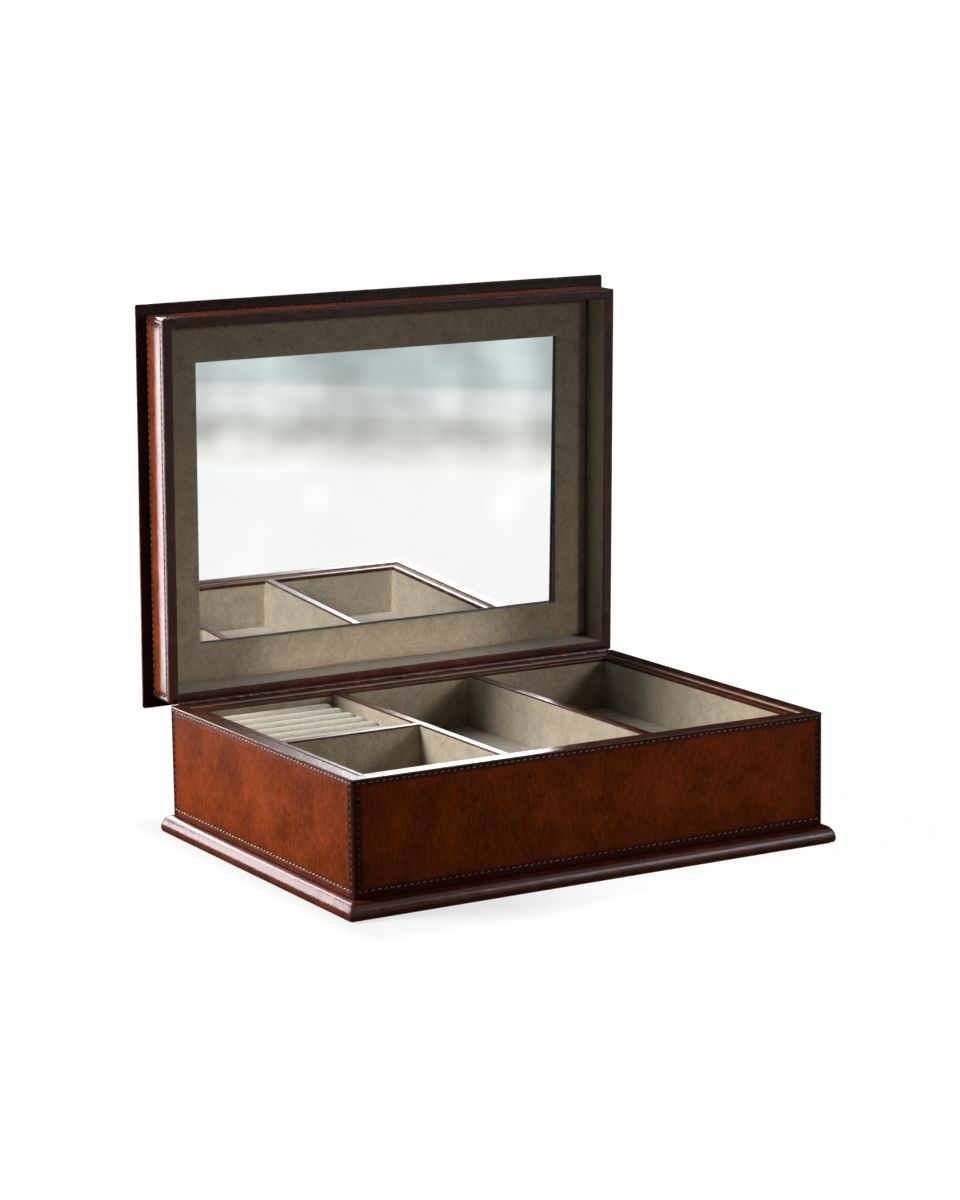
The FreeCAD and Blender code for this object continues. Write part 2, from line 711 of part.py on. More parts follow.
def build_lid():
    save("lid_board", opened(lid_board()))
    save("lid_top_panel", opened(lid_top_panel()))
    save("lid_mouldings_long", opened(lid_moulding("front")), opened(lid_moulding("back")))
    save("lid_mouldings_ends", opened(lid_moulding("left")), opened(lid_moulding("right")))
    save("lid_side_front", opened(lid_side("front")))
    save("lid_side_back", opened(lid_side("back")))
    save("lid_sides_ends", opened(lid_side("left")), opened(lid_side("right")))
    save("lid_panel_front", opened(lid_panel("front")))
    save("lid_panel_back", opened(lid_panel("back")))
    save("lid_panels_ends", opened(lid_panel("left")), opened(lid_panel("right")))
    save("lid_rim_front", opened(lid_rim("front")))
    save("lid_rim_back", opened(lid_rim("back")))
    save("lid_rim_ends", opened(lid_rim("left")), opened(lid_rim("right")))
    save("lid_lining", opened(lid_lining()))
    save("mirror_board", opened(mirror_board()))
    save("mirror_glass", opened(mirror_glass()))
    save("lid_hinge_leaves", *[opened(leaf) for leaf in at_hinges(lid_leaf)])
    rows = at_hinges(lambda: Part.makeCompound(screws_of_leaf(LID_LEAF_UNDER, False, True)))
    save("lid_hinge_screws", *[opened(screw) for row in rows for screw in row.Solids])


os.makedirs("parts", exist_ok=True)
build_base()
build_tray()
build_lid()
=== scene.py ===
import math
import bmesh
import bpy
import numpy as np
from mathutils import Matrix, Vector, noise


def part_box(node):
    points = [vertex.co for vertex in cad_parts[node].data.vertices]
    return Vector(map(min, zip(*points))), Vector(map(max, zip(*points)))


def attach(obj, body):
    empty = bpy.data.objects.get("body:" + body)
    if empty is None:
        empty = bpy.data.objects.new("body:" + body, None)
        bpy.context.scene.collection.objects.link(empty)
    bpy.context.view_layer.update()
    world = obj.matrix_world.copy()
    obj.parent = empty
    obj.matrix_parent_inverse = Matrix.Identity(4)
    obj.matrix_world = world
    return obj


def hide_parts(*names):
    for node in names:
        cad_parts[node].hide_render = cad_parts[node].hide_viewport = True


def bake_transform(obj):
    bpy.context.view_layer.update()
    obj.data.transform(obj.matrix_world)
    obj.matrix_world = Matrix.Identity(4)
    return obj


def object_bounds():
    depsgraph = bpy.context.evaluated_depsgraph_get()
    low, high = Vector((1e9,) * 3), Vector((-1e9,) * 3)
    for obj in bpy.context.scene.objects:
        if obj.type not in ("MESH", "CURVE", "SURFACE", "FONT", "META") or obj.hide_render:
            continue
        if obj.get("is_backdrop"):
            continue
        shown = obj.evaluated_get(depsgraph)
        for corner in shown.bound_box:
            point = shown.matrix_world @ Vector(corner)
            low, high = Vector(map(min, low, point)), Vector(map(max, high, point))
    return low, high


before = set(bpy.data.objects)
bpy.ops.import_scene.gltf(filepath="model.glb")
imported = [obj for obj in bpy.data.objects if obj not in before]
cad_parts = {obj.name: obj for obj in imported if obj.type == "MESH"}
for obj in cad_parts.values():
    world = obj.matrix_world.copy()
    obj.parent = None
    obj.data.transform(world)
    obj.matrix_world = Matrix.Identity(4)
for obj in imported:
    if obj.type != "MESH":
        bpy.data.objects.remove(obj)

bl_info = {
    "name": "Ring Box",
    "version": (1, 0, 0),
    "blender": (4, 5, 0),
    "location": "3D View > Sidebar > Ring Box",
    "description": "Leather, suede, stitching and mirror of a ring box with a lift-out tray and a hinged lid",
    "category": "Object",
}

# The pieces below are drawn in millimetres and made in metres. Lid pieces are drawn shut and
# then turned about the hinge to the open rest pose, as the CAD part does.


# ---------------------------------------------------------------- measures

def span(node):
    """Lowest and highest corner of a CAD node, in millimetres."""
    low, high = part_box(node)
    return np.array(low) * 1000, np.array(high) * 1000


HALF_LENGTH = span("rim_ends")[1][0]
HALF_DEPTH = span("rim_ends")[1][1]
RIM_TOP = span("rim_front")[1][2]
RIM_UNDER = span("rim_front")[0][2]
BODY_BASE = span("panel_front")[0][2]
PANEL = span("panel_front")[1][1] - span("panel_front")[0][1]
PANEL_HALF_LENGTH = span("panel_front")[1][0]
PANEL_HALF_DEPTH = span("panel_left")[1][1]
RIM_INNER_X = HALF_LENGTH - (span("rim_front")[1][1] + HALF_DEPTH)
PLINTH_NOSE_X = span("plinth_long")[1][0]
FELT_TOP = span("base_felt")[1][2]
TRAY_TOP = span("tray_caps_long")[1][2]
TRAY_OUT_X = span("tray_caps_long")[1][0]
BAY_X = -span("divider_cap_cross")[0][0]
BAY_Y = span("divider_cap_left")[1][1]
CAP_UNDER = span("divider_cap_left")[0][2]

# Lid, drawn shut
HINGE_Y = HALF_DEPTH
HINGE_Z = RIM_TOP - 0.1
OPEN_ANGLE = math.radians(88.35)
LID_RIM = RIM_TOP + 0.3
LID_WOOD = LID_RIM + 0.8
LEDGE = LID_RIM + 22.2
LID_TOP = LEDGE + 6.0
LID_PANEL = LEDGE + 1.3 - LID_WOOD
LID_RIM_WIDTH = 5.8
MIRROR_FACE = LID_RIM + 17.6
GLASS_FACE = MIRROR_FACE + 3.4
MIRROR_BORDER = 27.9
BOARD_EDGE = 7.4
MOULDING_REACH = 5.8
MOULDING_INWARD = 3.0
TOP_PANEL_EDGE = 3.15
LID_TOP_HALF = (HALF_LENGTH - TOP_PANEL_EDGE, HALF_DEPTH - TOP_PANEL_EDGE)
LINING = 0.8
HINGE_PLACES = (-85.0, 85.0)

# Room for each hinge, in metres
BARREL_RADIUS, BARREL_LENGTH = 0.0021, 0.0246
LEAF_ROOM = (0.0242, 0.0071, 0.0011)


def stack(x, y, z):
    """Points from coordinates, each one number or many."""
    return np.stack(np.broadcast_arrays(x, y, z), 1).astype(float)


def opened(points):
    """Points of a lid part turned from shut to the open rest pose."""
    c, s = math.cos(OPEN_ANGLE), math.sin(OPEN_ANGLE)
    out = np.array(points, float)
    y, z = out[:, 1] - HINGE_Y, out[:, 2] - HINGE_Z
    out[:, 1] = HINGE_Y + y * c + z * s
    out[:, 2] = HINGE_Z - y * s + z * c
    return out


# ---------------------------------------------------------------- mesh helpers

def make_mesh(name, points, faces, values=None, sharp=38.0):
    """Mesh in metres from points in millimetres, closed, facing out and shaded smooth up to an angle."""
    mesh = bpy.data.meshes.new(name)
    mesh.from_pydata((np.asarray(points, float) * 0.001).tolist(), [], faces)
    for key, numbers in (values or {}).items():
        attribute = mesh.attributes.new(key, "FLOAT", "POINT")
        attribute.data.foreach_set("value", np.asarray(numbers, np.float32))
    shape = bmesh.new()
    shape.from_mesh(mesh)
    bmesh.ops.recalc_face_normals(shape, faces=shape.faces)
    shape.to_mesh(mesh)
    shape.free()
    mesh.shade_smooth()
    mesh.set_sharp_from_angle(angle=math.radians(sharp))
    return mesh


def new_object(name, data):
    """Untransformed object in the scene."""
    made = bpy.data.objects.new(name, data)
    bpy.context.scene.collection.objects.link(made)
    return made


def make_piece(name, mesh, material, body=None, stands_for=()):
    """Object that shows a mesh and rides on a body, or on none."""
    mesh.materials.clear()
    mesh.materials.append(MATERIALS[material])
    piece = new_object(name, mesh)
    if body:
        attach(piece, body)
    if stands_for:
        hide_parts(*stands_for)
    return piece


def waves(points, size, seed):
    """Smooth noise from -1 to 1 at points in millimetres, with features of a size."""
    shift = Vector((seed * 7.31, seed * 3.17, seed * 5.93))
    return np.array([noise.noise(Vector(p) / size + shift) for p in points])


def stations(length, step, fine, band):
    """Places along a length: close together within a band of either end, wider between."""
    if length <= 2 * band + step:
        return np.linspace(0, length, max(2, round(length / fine)) + 1)
    near = np.linspace(0, band, max(1, round(band / fine)) + 1)
    middle = np.linspace(band, length - band, max(1, round((length - 2 * band) / step)) + 1)
    return np.concatenate([near[:-1], middle, (length - near[::-1])[1:]])


def sheet_solid(us, vs, face, back):
    """A closed sheet: a grid on its face, its edges turned back, and one flat back."""
    nu, nv = len(us), len(vs)
    grid_u, grid_v = (g.ravel() for g in np.meshgrid(us, vs, indexing="ij"))
    loop = [i * nv for i in range(nu)]
    loop += [(nu - 1) * nv + j for j in range(1, nv)]
    loop += [i * nv + nv - 1 for i in range(nu - 2, -1, -1)]
    loop += list(range(nv - 2, 0, -1))
    front = face(grid_u, grid_v)
    points = np.vstack([front, back(grid_u[loop], grid_v[loop])])
    faces = [
        (i * nv + j, (i + 1) * nv + j, (i + 1) * nv + j + 1, i * nv + j + 1)
        for i in range(nu - 1)
        for j in range(nv - 1)
    ]
    base, count = nu * nv, len(loop)
    faces += [(loop[k], loop[(k + 1) % count], base + (k + 1) % count, base + k) for k in range(count)]
    faces.append(tuple(base + k for k in range(count)))
    return points, faces, loop


def section(corners, longest, arc=4):
    """Closed outline through (across, height, rounding radius) corners, arcs and long runs divided."""
    flat = [Vector(c[:2]) for c in corners]
    turned = []
    for index, (_, _, radius) in enumerate(corners):
        here = flat[index]
        back = (flat[index - 1] - here).normalized()
        ahead = (flat[(index + 1) % len(flat)] - here).normalized()
        if radius <= 0:
            turned.append([here])
            continue
        half = back.angle(ahead) / 2
        reach = radius / math.tan(half)
        centre = here + (back + ahead).normalized() * (radius / math.sin(half))
        start, end = here + back * reach - centre, here + ahead * reach - centre
        turned.append([centre + start.slerp(end, k / arc) * radius for k in range(arc + 1)])
    outline = []
    for index, points in enumerate(turned):
        outline += points
        following = turned[(index + 1) % len(turned)][0]
        parts = int((following - points[-1]).length / longest) + 1
        outline += [points[-1].lerp(following, k / parts) for k in range(1, parts)]
    return np.array([tuple(p) for p in outline])


def outline_normals(outline):
    """Outward normals of a closed outline."""
    ahead = np.roll(outline, -1, 0) - np.roll(outline, 1, 0)
    normals = np.stack([ahead[:, 1], -ahead[:, 0]], 1)
    normals /= np.linalg.norm(normals, axis=1)[:, None] + 1e-9
    area = np.sum(outline[:, 0] * np.roll(outline[:, 1], -1) - np.roll(outline[:, 0], -1) * outline[:, 1])
    return normals if area > 0 else -normals


def distances(outline):
    """How far along an outline each of its points is."""
    return np.concatenate([[0], np.cumsum(np.linalg.norm(np.diff(outline, axis=0), axis=1))])


def tube_faces(rings, count, joined=False):
    """Faces between rings of points, with closed ends or joined end to end."""
    faces = []
    for s in range(rings if joined else rings - 1):
        here, there = s * count, (s + 1) % rings * count
        faces += [
            (here + p, there + p, there + (p + 1) % count, here + (p + 1) % count)
            for p in range(count)
        ]
    if not joined:
        faces += [tuple(range(count)), tuple(range((rings - 1) * count, rings * count))]
    return faces


def ring(outline, half_x, half_y, corner, relief, step, fine, centre=(0.0, 0.0), band=8.0, arc=4):
    """Closed frame swept round a rectangle; outline points are (outward, height).

    corner(outward) gives the plan radius there, and relief(run, across, points) how far the
    surface stands out along its own normal."""
    count = len(outline)
    normals = outline_normals(outline)
    across = distances(outline)
    plan, run, total = [], [], 0.0
    sides = [(half_x, (0, -1)), (half_y, (1, 0)), (half_x, (0, 1)), (half_y, (-1, 0))]
    for side, (half, normal) in enumerate(sides):
        places = stations(2 * half, step, fine, band)
        for t in places[1:-1] / half - 1:
            along = (t, -1) if side == 0 else (1, t) if side == 1 else (-t, 1) if side == 2 else (-1, -t)
            plan.append((*along, *normal))
            run.append(total + (t + 1) * half)
        total += 2 * half
        ax, ay = [(1, -1), (1, 1), (-1, 1), (-1, -1)][side]
        first = -90 + 90 * side
        for k in range(arc + 1):
            angle = math.radians(first + 90 * k / arc)
            plan.append((ax, ay, math.cos(angle), math.sin(angle)))
            run.append(total)
    plan, run = np.array(plan), np.array(run)
    rounding = np.array([corner(o) for o in outline[:, 0]])

    def place(out, height):
        cx, cy = half_x + out - rounding, half_y + out - rounding
        x = plan[:, 0:1] * cx + plan[:, 2:3] * rounding + centre[0]
        y = plan[:, 1:2] * cy + plan[:, 3:4] * rounding + centre[1]
        return stack(x.ravel(), y.ravel(), np.broadcast_to(height, x.shape).ravel())

    out = np.broadcast_to(outline[:, 0], (len(plan), count))
    height = np.broadcast_to(outline[:, 1], (len(plan), count))
    points = place(out, height)
    runs, acrosses = np.repeat(run, count), np.tile(across, len(plan))
    lift = relief(runs, acrosses, points).reshape(len(plan), count)
    points = place(out + normals[:, 0] * lift, height + normals[:, 1] * lift)
    return points, tube_faces(len(plan), count, True), {"run": runs, "across": acrosses}


def bar(outline, length, to_space, step, relief):
    """Straight strip with closed ends; outline points are (sideways, height)."""
    count = len(outline)
    normals = outline_normals(outline)
    across = distances(outline)
    places = stations(length, step, fine=0.5, band=3.0)
    runs, acrosses = np.repeat(places, count), np.tile(across, len(places))
    side, height = np.tile(outline.T, len(places))
    lift = relief(runs, acrosses, to_space(runs, side, height))
    sideways, upward = np.tile(normals.T, len(places)) * lift
    points = to_space(runs, side + sideways, height + upward)
    return points, tube_faces(len(places), count), {"run": runs, "across": acrosses}


def cut_hinge_room(piece, lid):
    """Takes the room of the two hinges out of a piece."""
    shape = bmesh.new()
    for x in HINGE_PLACES:
        middle = Vector((x, HINGE_Y, HINGE_Z)) * 0.001
        turn = Matrix.Translation(middle) @ Matrix.Rotation(math.pi / 2, 4, "Y")
        barrel = {"radius1": BARREL_RADIUS, "radius2": BARREL_RADIUS, "depth": BARREL_LENGTH}
        bmesh.ops.create_cone(shape, cap_ends=True, segments=24, matrix=turn, **barrel)
    leaf_height = 1.7 if lid else -1.2
    for x in HINGE_PLACES:
        place = Matrix.Translation(Vector((x, HINGE_Y - 1.4, HINGE_Z + leaf_height)) * 0.001)
        bmesh.ops.create_cube(shape, size=1.0, matrix=place @ Matrix.Diagonal((*LEAF_ROOM, 1.0)))
    mesh = bpy.data.meshes.new("hinge_room")
    shape.to_mesh(mesh)
    shape.free()
    if lid:
        co = opened(np.array([v.co for v in mesh.vertices]) * 1000) * 0.001
        mesh.vertices.foreach_set("co", co.ravel())
    cutter = new_object("hinge_room", mesh)
    cut = piece.modifiers.new("hinge_room", "BOOLEAN")
    cut.operation, cut.solver, cut.object = "DIFFERENCE", "EXACT", cutter
    cut.use_self = True
    made = evaluated_mesh(piece)
    piece.modifiers.clear()
    piece.data = made
    bpy.data.objects.remove(cutter)


def evaluated_mesh(piece):
    """Plain mesh of an object as its modifiers make it."""
    graph = bpy.context.evaluated_depsgraph_get()
    return bpy.data.meshes.new_from_object(
        piece.evaluated_get(graph), preserve_all_data_layers=True, depsgraph=graph
    )


# ---------------------------------------------------------------- shader helpers

class Tree:
    """Short ways to place and join shader or geometry nodes."""

    def __init__(self, tree):
        self.tree = tree

    def add(self, kind, inputs=None, **settings):
        node = self.tree.nodes.new(kind)
        for key, value in settings.items():
            setattr(node, key, value)
        for key, value in (inputs or {}).items():
            self.feed(node.inputs[key], value)
        return node

    def feed(self, socket, value):
        if isinstance(value, bpy.types.NodeSocket):
            self.tree.links.new(value, socket)
        elif isinstance(value, (tuple, list)) and socket.type == "RGBA" and len(value) == 3:
            socket.default_value = (*value, 1.0)
        else:
            socket.default_value = value

    def made(self, kind, inputs=None, output=0, **settings):
        return self.add(kind, inputs, **settings).outputs[output]

    def math(self, operation, *values, clamp=False):
        node = self.add("ShaderNodeMath", operation=operation, use_clamp=clamp)
        for socket, value in zip(node.inputs, values):
            self.feed(socket, value)
        return node.outputs[0]

    def times(self, first, *others, clamp=False):
        for value in others:
            first = self.math("MULTIPLY", first, value, clamp=clamp)
        return first

    def plus(self, first, *others, clamp=False):
        for value in others:
            first = self.math("ADD", first, value, clamp=clamp)
        return first

    def minus(self, a, b, clamp=False):
        return self.math("SUBTRACT", a, b, clamp=clamp)

    def attribute(self, name):
        return self.made("ShaderNodeAttribute", output="Fac", attribute_name=name)

    def vector(self, x=0.0, y=0.0, z=0.0):
        return self.made("ShaderNodeCombineXYZ", {"X": x, "Y": y, "Z": z})

    def blend(self, factor, a, b):
        node = self.add("ShaderNodeMix", data_type="RGBA")
        for index, value in ((0, factor), (6, a), (7, b)):
            self.feed(node.inputs[index], value)
        return node.outputs[2]

    def ramp(self, factor, *stops):
        node = self.add("ShaderNodeValToRGB", {"Fac": factor})
        ramp = node.color_ramp
        while len(ramp.elements) < len(stops):
            ramp.elements.new(0.5)
        for element, (place, value) in zip(ramp.elements, stops):
            element.position = place
            element.color = (value, value, value, 1) if isinstance(value, float) else (*value, 1)
        return node.outputs[0]

    def clouds(self, place, scale, detail=2.0, rough=0.5, warp=0.0):
        inputs = {"Vector": place, "Scale": scale, "Detail": detail, "Roughness": rough, "Distortion": warp}
        return self.made("ShaderNodeTexNoise", inputs)

    def noise(self, place, size, detail=2.0, rough=0.5, warp=0.0):
        return self.clouds(place, 1000.0 / size, detail, rough, warp)

    def stretch(self, place, scale):
        return self.made("ShaderNodeMapping", {"Vector": place, "Scale": scale})

    def glow(self, colour, strength, kind="ShaderNodeEmission"):
        return self.made(kind, {"Color": colour, "Strength": strength})

    def between(self, factor, a, b):
        return self.made("ShaderNodeMixShader", {0: factor, 1: a, 2: b})

    def span_between(self, operation, *places):
        return self.made("ShaderNodeVectorMath", dict(enumerate(places)), "Value", operation=operation)


def emptied_tree(owner):
    """The node tree of a material or world, with nothing in it yet."""
    owner.use_nodes = True
    owner.node_tree.nodes.clear()
    return Tree(owner.node_tree)


def material_tree(name, **levels):
    """New material, its tree and its surface shader, with plain levels set; _ stands for a space."""
    material = bpy.data.materials.new(name)
    tree = emptied_tree(material)
    shader = tree.add("ShaderNodeBsdfPrincipled")
    tree.add("ShaderNodeOutputMaterial", {"Surface": shader.outputs[0]})
    for key, level in levels.items():
        shader.inputs[key.replace("_", " ")].default_value = level
    return material, tree, shader


def effect_group(name, inputs, outputs):
    """New shader node group with named sockets; returns its tree, input node and output node."""
    group = bpy.data.node_groups.new(name, "ShaderNodeTree")
    for label, kind, default in inputs:
        socket = group.interface.new_socket(label, in_out="INPUT", socket_type=kind)
        if default is not None:
            socket.default_value = default
    for label, kind in outputs:
        group.interface.new_socket(label, in_out="OUTPUT", socket_type=kind)
    tree = Tree(group)
    return tree, tree.add("NodeGroupInput").outputs, tree.add("NodeGroupOutput").inputs


def use_group(tree, name, **inputs):
    """Places an effect group; keyword names use _ for the spaces in socket names."""
    node = tree.add("ShaderNodeGroup", node_tree=bpy.data.node_groups[name])
    for key, value in inputs.items():
        tree.feed(node.inputs[key.replace("_", " ")], value)
    return node.outputs


FLOAT, VECTOR = "NodeSocketFloat", "NodeSocketVector"


def build_leather_grain():
    """Pebble grain, fine creases and cloudy dye of polished leather."""
    tree, given, out = effect_group(
        "leather_grain",
        [
            ("Place", VECTOR, None), ("Grain Size", FLOAT, 0.9), ("Crease Size", FLOAT, 14.0),
            ("Dye Size", FLOAT, 26.0)
        ],
        [("Height", FLOAT), ("Dye", FLOAT), ("Speck", FLOAT), ("Polish", FLOAT)],
    )
    place = given["Place"]
    grain_scale, crease_scale, dye_scale = (
        tree.math("DIVIDE", 1000.0, given[label]) for label in ("Grain Size", "Crease Size", "Dye Size")
    )
    pebble = tree.add(
        "ShaderNodeTexVoronoi", {"Vector": place, "Scale": grain_scale, "Randomness": 0.9},
        feature="SMOOTH_F1"
    )
    tree.feed(pebble.inputs["Smoothness"], 0.35)
    fine = tree.clouds(place, tree.times(grain_scale, 1.7), 3.0)
    warped = tree.clouds(place, crease_scale, 4.0, 0.6, 0.8)
    ridge = tree.math("ABSOLUTE", tree.minus(warped, 0.5))
    crease = tree.minus(1.0, tree.times(ridge, 22.0, clamp=True))
    height = tree.plus(tree.times(pebble.outputs[0], -0.55), tree.times(fine, 0.35))
    tree.feed(out["Height"], tree.minus(height, tree.times(crease, 0.35)))
    cloud = tree.clouds(place, dye_scale, 4.0, 0.55, 0.3)
    streak = tree.clouds(tree.stretch(place, (1.0, 1.0, 0.28)), tree.times(dye_scale, 24.0), 5.0, 0.7)
    tree.feed(out["Dye"], tree.plus(tree.times(cloud, 0.42), tree.times(streak, 0.58)))
    dots = tree.add("ShaderNodeTexVoronoi", {"Vector": place, "Scale": 520.0, "Randomness": 1.0})
    few = tree.clouds(place, 90.0)
    size = tree.times(tree.minus(few, 0.48, clamp=True), 1.5)
    tree.feed(out["Speck"], tree.math("GREATER_THAN", size, dots.outputs["Distance"]))
    tree.feed(out["Polish"], tree.clouds(place, tree.times(dye_scale, 2.3), 3.0))


def build_suede_nap():
    """Short brushed nap: fine stipple with soft brushed blotches."""
    tree, given, out = effect_group(
        "suede_nap",
        [("Place", VECTOR, None), ("Nap Size", FLOAT, 0.5), ("Brush Size", FLOAT, 9.0)],
        [("Height", FLOAT), ("Shade", FLOAT)],
    )
    place = given["Place"]
    nap_scale = tree.math("DIVIDE", 1000.0, given["Nap Size"])
    brush_scale = tree.math("DIVIDE", 1000.0, given["Brush Size"])
    nap = tree.clouds(place, nap_scale, 3.0, 0.7)
    coarse = tree.clouds(place, tree.times(nap_scale, 0.33))
    brush = tree.clouds(place, brush_scale, 3.0, 0.55, 0.6)
    tree.feed(out["Height"], tree.plus(nap, tree.times(coarse, 0.8)))
    shades = [
        tree.times(tree.minus(part, 0.5), weight)
        for part, weight in ((brush, 0.55), (nap, 1.1), (coarse, 0.45))
    ]
    tree.feed(out["Shade"], tree.plus(tree.plus(*shades), 0.5, clamp=True))


def build_strip_wrinkles():
    """Small creases that run across a leather-wrapped strip, from its own run and across values."""
    tree, given, out = effect_group(
        "strip_wrinkles",
        [("Size", FLOAT, 3.0), ("Stretch", FLOAT, 2.5)],
        [("Height", FLOAT), ("Shade", FLOAT)],
    )
    run, across = tree.attribute("run"), tree.attribute("across")
    place = tree.vector(run, tree.math("DIVIDE", across, given["Stretch"]))
    scale = tree.math("DIVIDE", 1.0, given["Size"])
    tree.feed(out["Height"], tree.clouds(place, scale, 4.0, 0.6, 0.5))
    tree.feed(out["Shade"], tree.clouds(place, tree.times(scale, 0.18)))


def object_place(tree):
    return tree.made("ShaderNodeTexCoord", output="Object")


def bump(tree, shader, height, distance):
    """Joins a height to a shader's normal through one bump node."""
    node = tree.add("ShaderNodeBump", {"Height": height, "Distance": distance, "Strength": 1.0})
    tree.feed(shader.inputs["Normal"], node.outputs[0])


def shaded(colour, amount):
    return tuple(c * amount for c in colour)


def stitched_leather(name, colours, inset, rough, gloss, depth):
    """Body leather: mottled dye, burnished and darkened outside the stitch groove, darker towards its edges,
    and painted shade in the groove.
    """
    material, tree, shader = material_tree(name, Specular_IOR_Level=gloss)
    place = object_place(tree)
    grain = use_group(tree, "leather_grain", Place=place, Grain_Size=colours.grain_size * 1000)
    base = tuple(colours.body_colour)
    dyed = tree.ramp(grain["Dye"], (0.40, shaded(base, 0.55)), (0.50, base), (0.60, shaded(base, 1.45)))
    dyed = tree.blend(tree.times(grain["Speck"], 0.6), dyed, shaded(base, 0.22))
    edge = tree.attribute("edge")
    wavering = tree.plus(edge, tree.times(tree.minus(grain["Polish"], 0.5), 1.6))
    burnish = tree.ramp(tree.math("DIVIDE", wavering, 10.0), (inset * 0.12, 1.0), (inset * 0.19, 0.0))
    # The burnish amount also carries the painted light of the lit left side.
    amount = tree.attribute("burnish")
    # Darker towards the panel's edges, over the outer 30 mm.
    dyed = tree.blend(
        tree.ramp(tree.math("DIVIDE", edge, 30.0), (0.0, 0.30), (1.0, 0.0)), dyed, shaded(base, 0.45)
    )
    dyed = tree.blend(tree.times(burnish, amount), dyed, tuple(colours.burnish_colour))
    # Painted shade: the leather in and beside the stitch groove goes near black.
    distance = tree.math("ABSOLUTE", tree.minus(edge, inset))
    groove = tree.minus(1.0, tree.times(distance, 1.5, clamp=True))
    dyed = tree.blend(tree.times(groove, 0.85), dyed, (0.010, 0.004, 0.003))
    tree.feed(shader.inputs["Base Color"], dyed)
    tree.feed(
        shader.inputs["Roughness"], tree.ramp(grain["Polish"], (0.3, rough - 0.03), (0.7, rough + 0.05))
    )
    bump(tree, shader, grain["Height"], depth)
    return material


def wrapped_leather(name, colour, light, rough, grain_mm, crease_mm, relief, gloss, depth):
    """Dark leather pulled over a strip: small creases across it and a low polish."""
    material, tree, shader = material_tree(name, Specular_IOR_Level=gloss)
    place = object_place(tree)
    grain = use_group(tree, "leather_grain", Place=place, Grain_Size=grain_mm, Dye_Size=9.0)
    wrinkles = use_group(tree, "strip_wrinkles", Size=crease_mm)
    shade = tree.plus(tree.times(grain["Dye"], 0.6), tree.times(wrinkles["Shade"], 0.4))
    dyed = tree.ramp(shade, (0.34, shaded(colour, 0.6)), (0.5, colour), (0.68, light))
    dyed = tree.blend(tree.times(grain["Speck"], 0.5), dyed, shaded(colour, 0.4))
    tree.feed(shader.inputs["Base Color"], dyed)
    tree.feed(
        shader.inputs["Roughness"], tree.ramp(grain["Polish"], (0.3, rough - 0.04), (0.7, rough + 0.06))
    )
    height = tree.plus(grain["Height"], tree.times(wrinkles["Height"], relief))
    bump(tree, shader, height, depth)
    return material


def suede(name, colour, nap_mm, brush_mm, contrast=1.0, cut=False):
    """Matt suede with a soft sheen; with a cut, the first 2.5 mm across, the cut wall of the opening, are
    near black.
    """
    material, tree, shader = material_tree(
        name, Roughness=0.95, Specular_IOR_Level=0.15, Sheen_Weight=0.5, Sheen_Roughness=0.45
    )
    nap = use_group(tree, "suede_nap", Place=object_place(tree), Nap_Size=nap_mm, Brush_Size=brush_mm)
    low, high = 1 - 0.34 * contrast, 1 + 0.30 * contrast
    dyed = tree.ramp(nap["Shade"], (0.22, shaded(colour, low)), (0.5, colour), (0.8, shaded(colour, high)))
    # The cut wall is coloured near black.
    if cut:
        across = tree.attribute("across")
        dyed = tree.blend(
            tree.ramp(tree.math("DIVIDE", across, 10.0), (0.22, 1.0), (0.29, 0.0)), dyed,
            (0.012, 0.010, 0.009)
        )
    tree.feed(shader.inputs["Base Color"], dyed)
    bump(tree, shader, nap["Height"], 0.0003)
    return material


def thread_material(colour):
    """Waxed linen thread with a twist, blended towards near black by the shade painted on its rows."""
    material, tree, shader = material_tree("waxed_thread", Roughness=0.6, Specular_IOR_Level=0.2)
    place = object_place(tree)
    unshaded_thread = tree.ramp(tree.noise(place, 4.0, 3.0), (0.3, shaded(colour, 0.55)), (0.6, colour))
    # Painted shade: the thread darkens towards near black by the amount marked on its row.
    thread_shade = tree.times(tree.attribute("thread_shade"), 0.9)
    tree.feed(shader.inputs["Base Color"], tree.blend(thread_shade, unshaded_thread, (0.03, 0.017, 0.012)))
    bump(tree, shader, tree.noise(place, 0.3), 0.0001)
    return material


def mirror_material():
    material, tree, shader = material_tree("silvered_glass", Metallic=1.0)
    place = object_place(tree)
    film = tree.noise(place, 60.0, 3.0)
    tree.feed(
        shader.inputs["Base Color"], tree.ramp(film, (0.3, (0.86, 0.88, 0.88)), (0.7, (0.89, 0.90, 0.90)))
    )
    tree.feed(shader.inputs["Roughness"], tree.ramp(tree.noise(place, 9.0, 4.0), (0.4, 0.012), (0.8, 0.035)))
    return material


def wood_material():
    material, tree, shader = material_tree("beech_wood")
    grain = tree.noise(tree.stretch(object_place(tree), (1.0, 9.0, 9.0)), 60.0, 6.0, 0.6, 0.4)
    tree.feed(
        shader.inputs["Base Color"],
        tree.ramp(grain, (0.35, (0.34, 0.21, 0.11)), (0.65, (0.55, 0.39, 0.24)))
    )
    tree.feed(shader.inputs["Roughness"], tree.ramp(grain, (0.3, 0.62), (0.7, 0.75)))
    bump(tree, shader, grain, 0.0002)
    return material


def felt_material():
    material, tree, shader = material_tree("brown_felt", Roughness=1.0, Sheen_Weight=0.3)
    fluff = tree.noise(object_place(tree), 0.6, 5.0, 0.7)
    tree.feed(
        shader.inputs["Base Color"],
        tree.ramp(fluff, (0.3, (0.028, 0.016, 0.010)), (0.7, (0.065, 0.042, 0.030)))
    )
    bump(tree, shader, fluff, 0.0004)
    return material


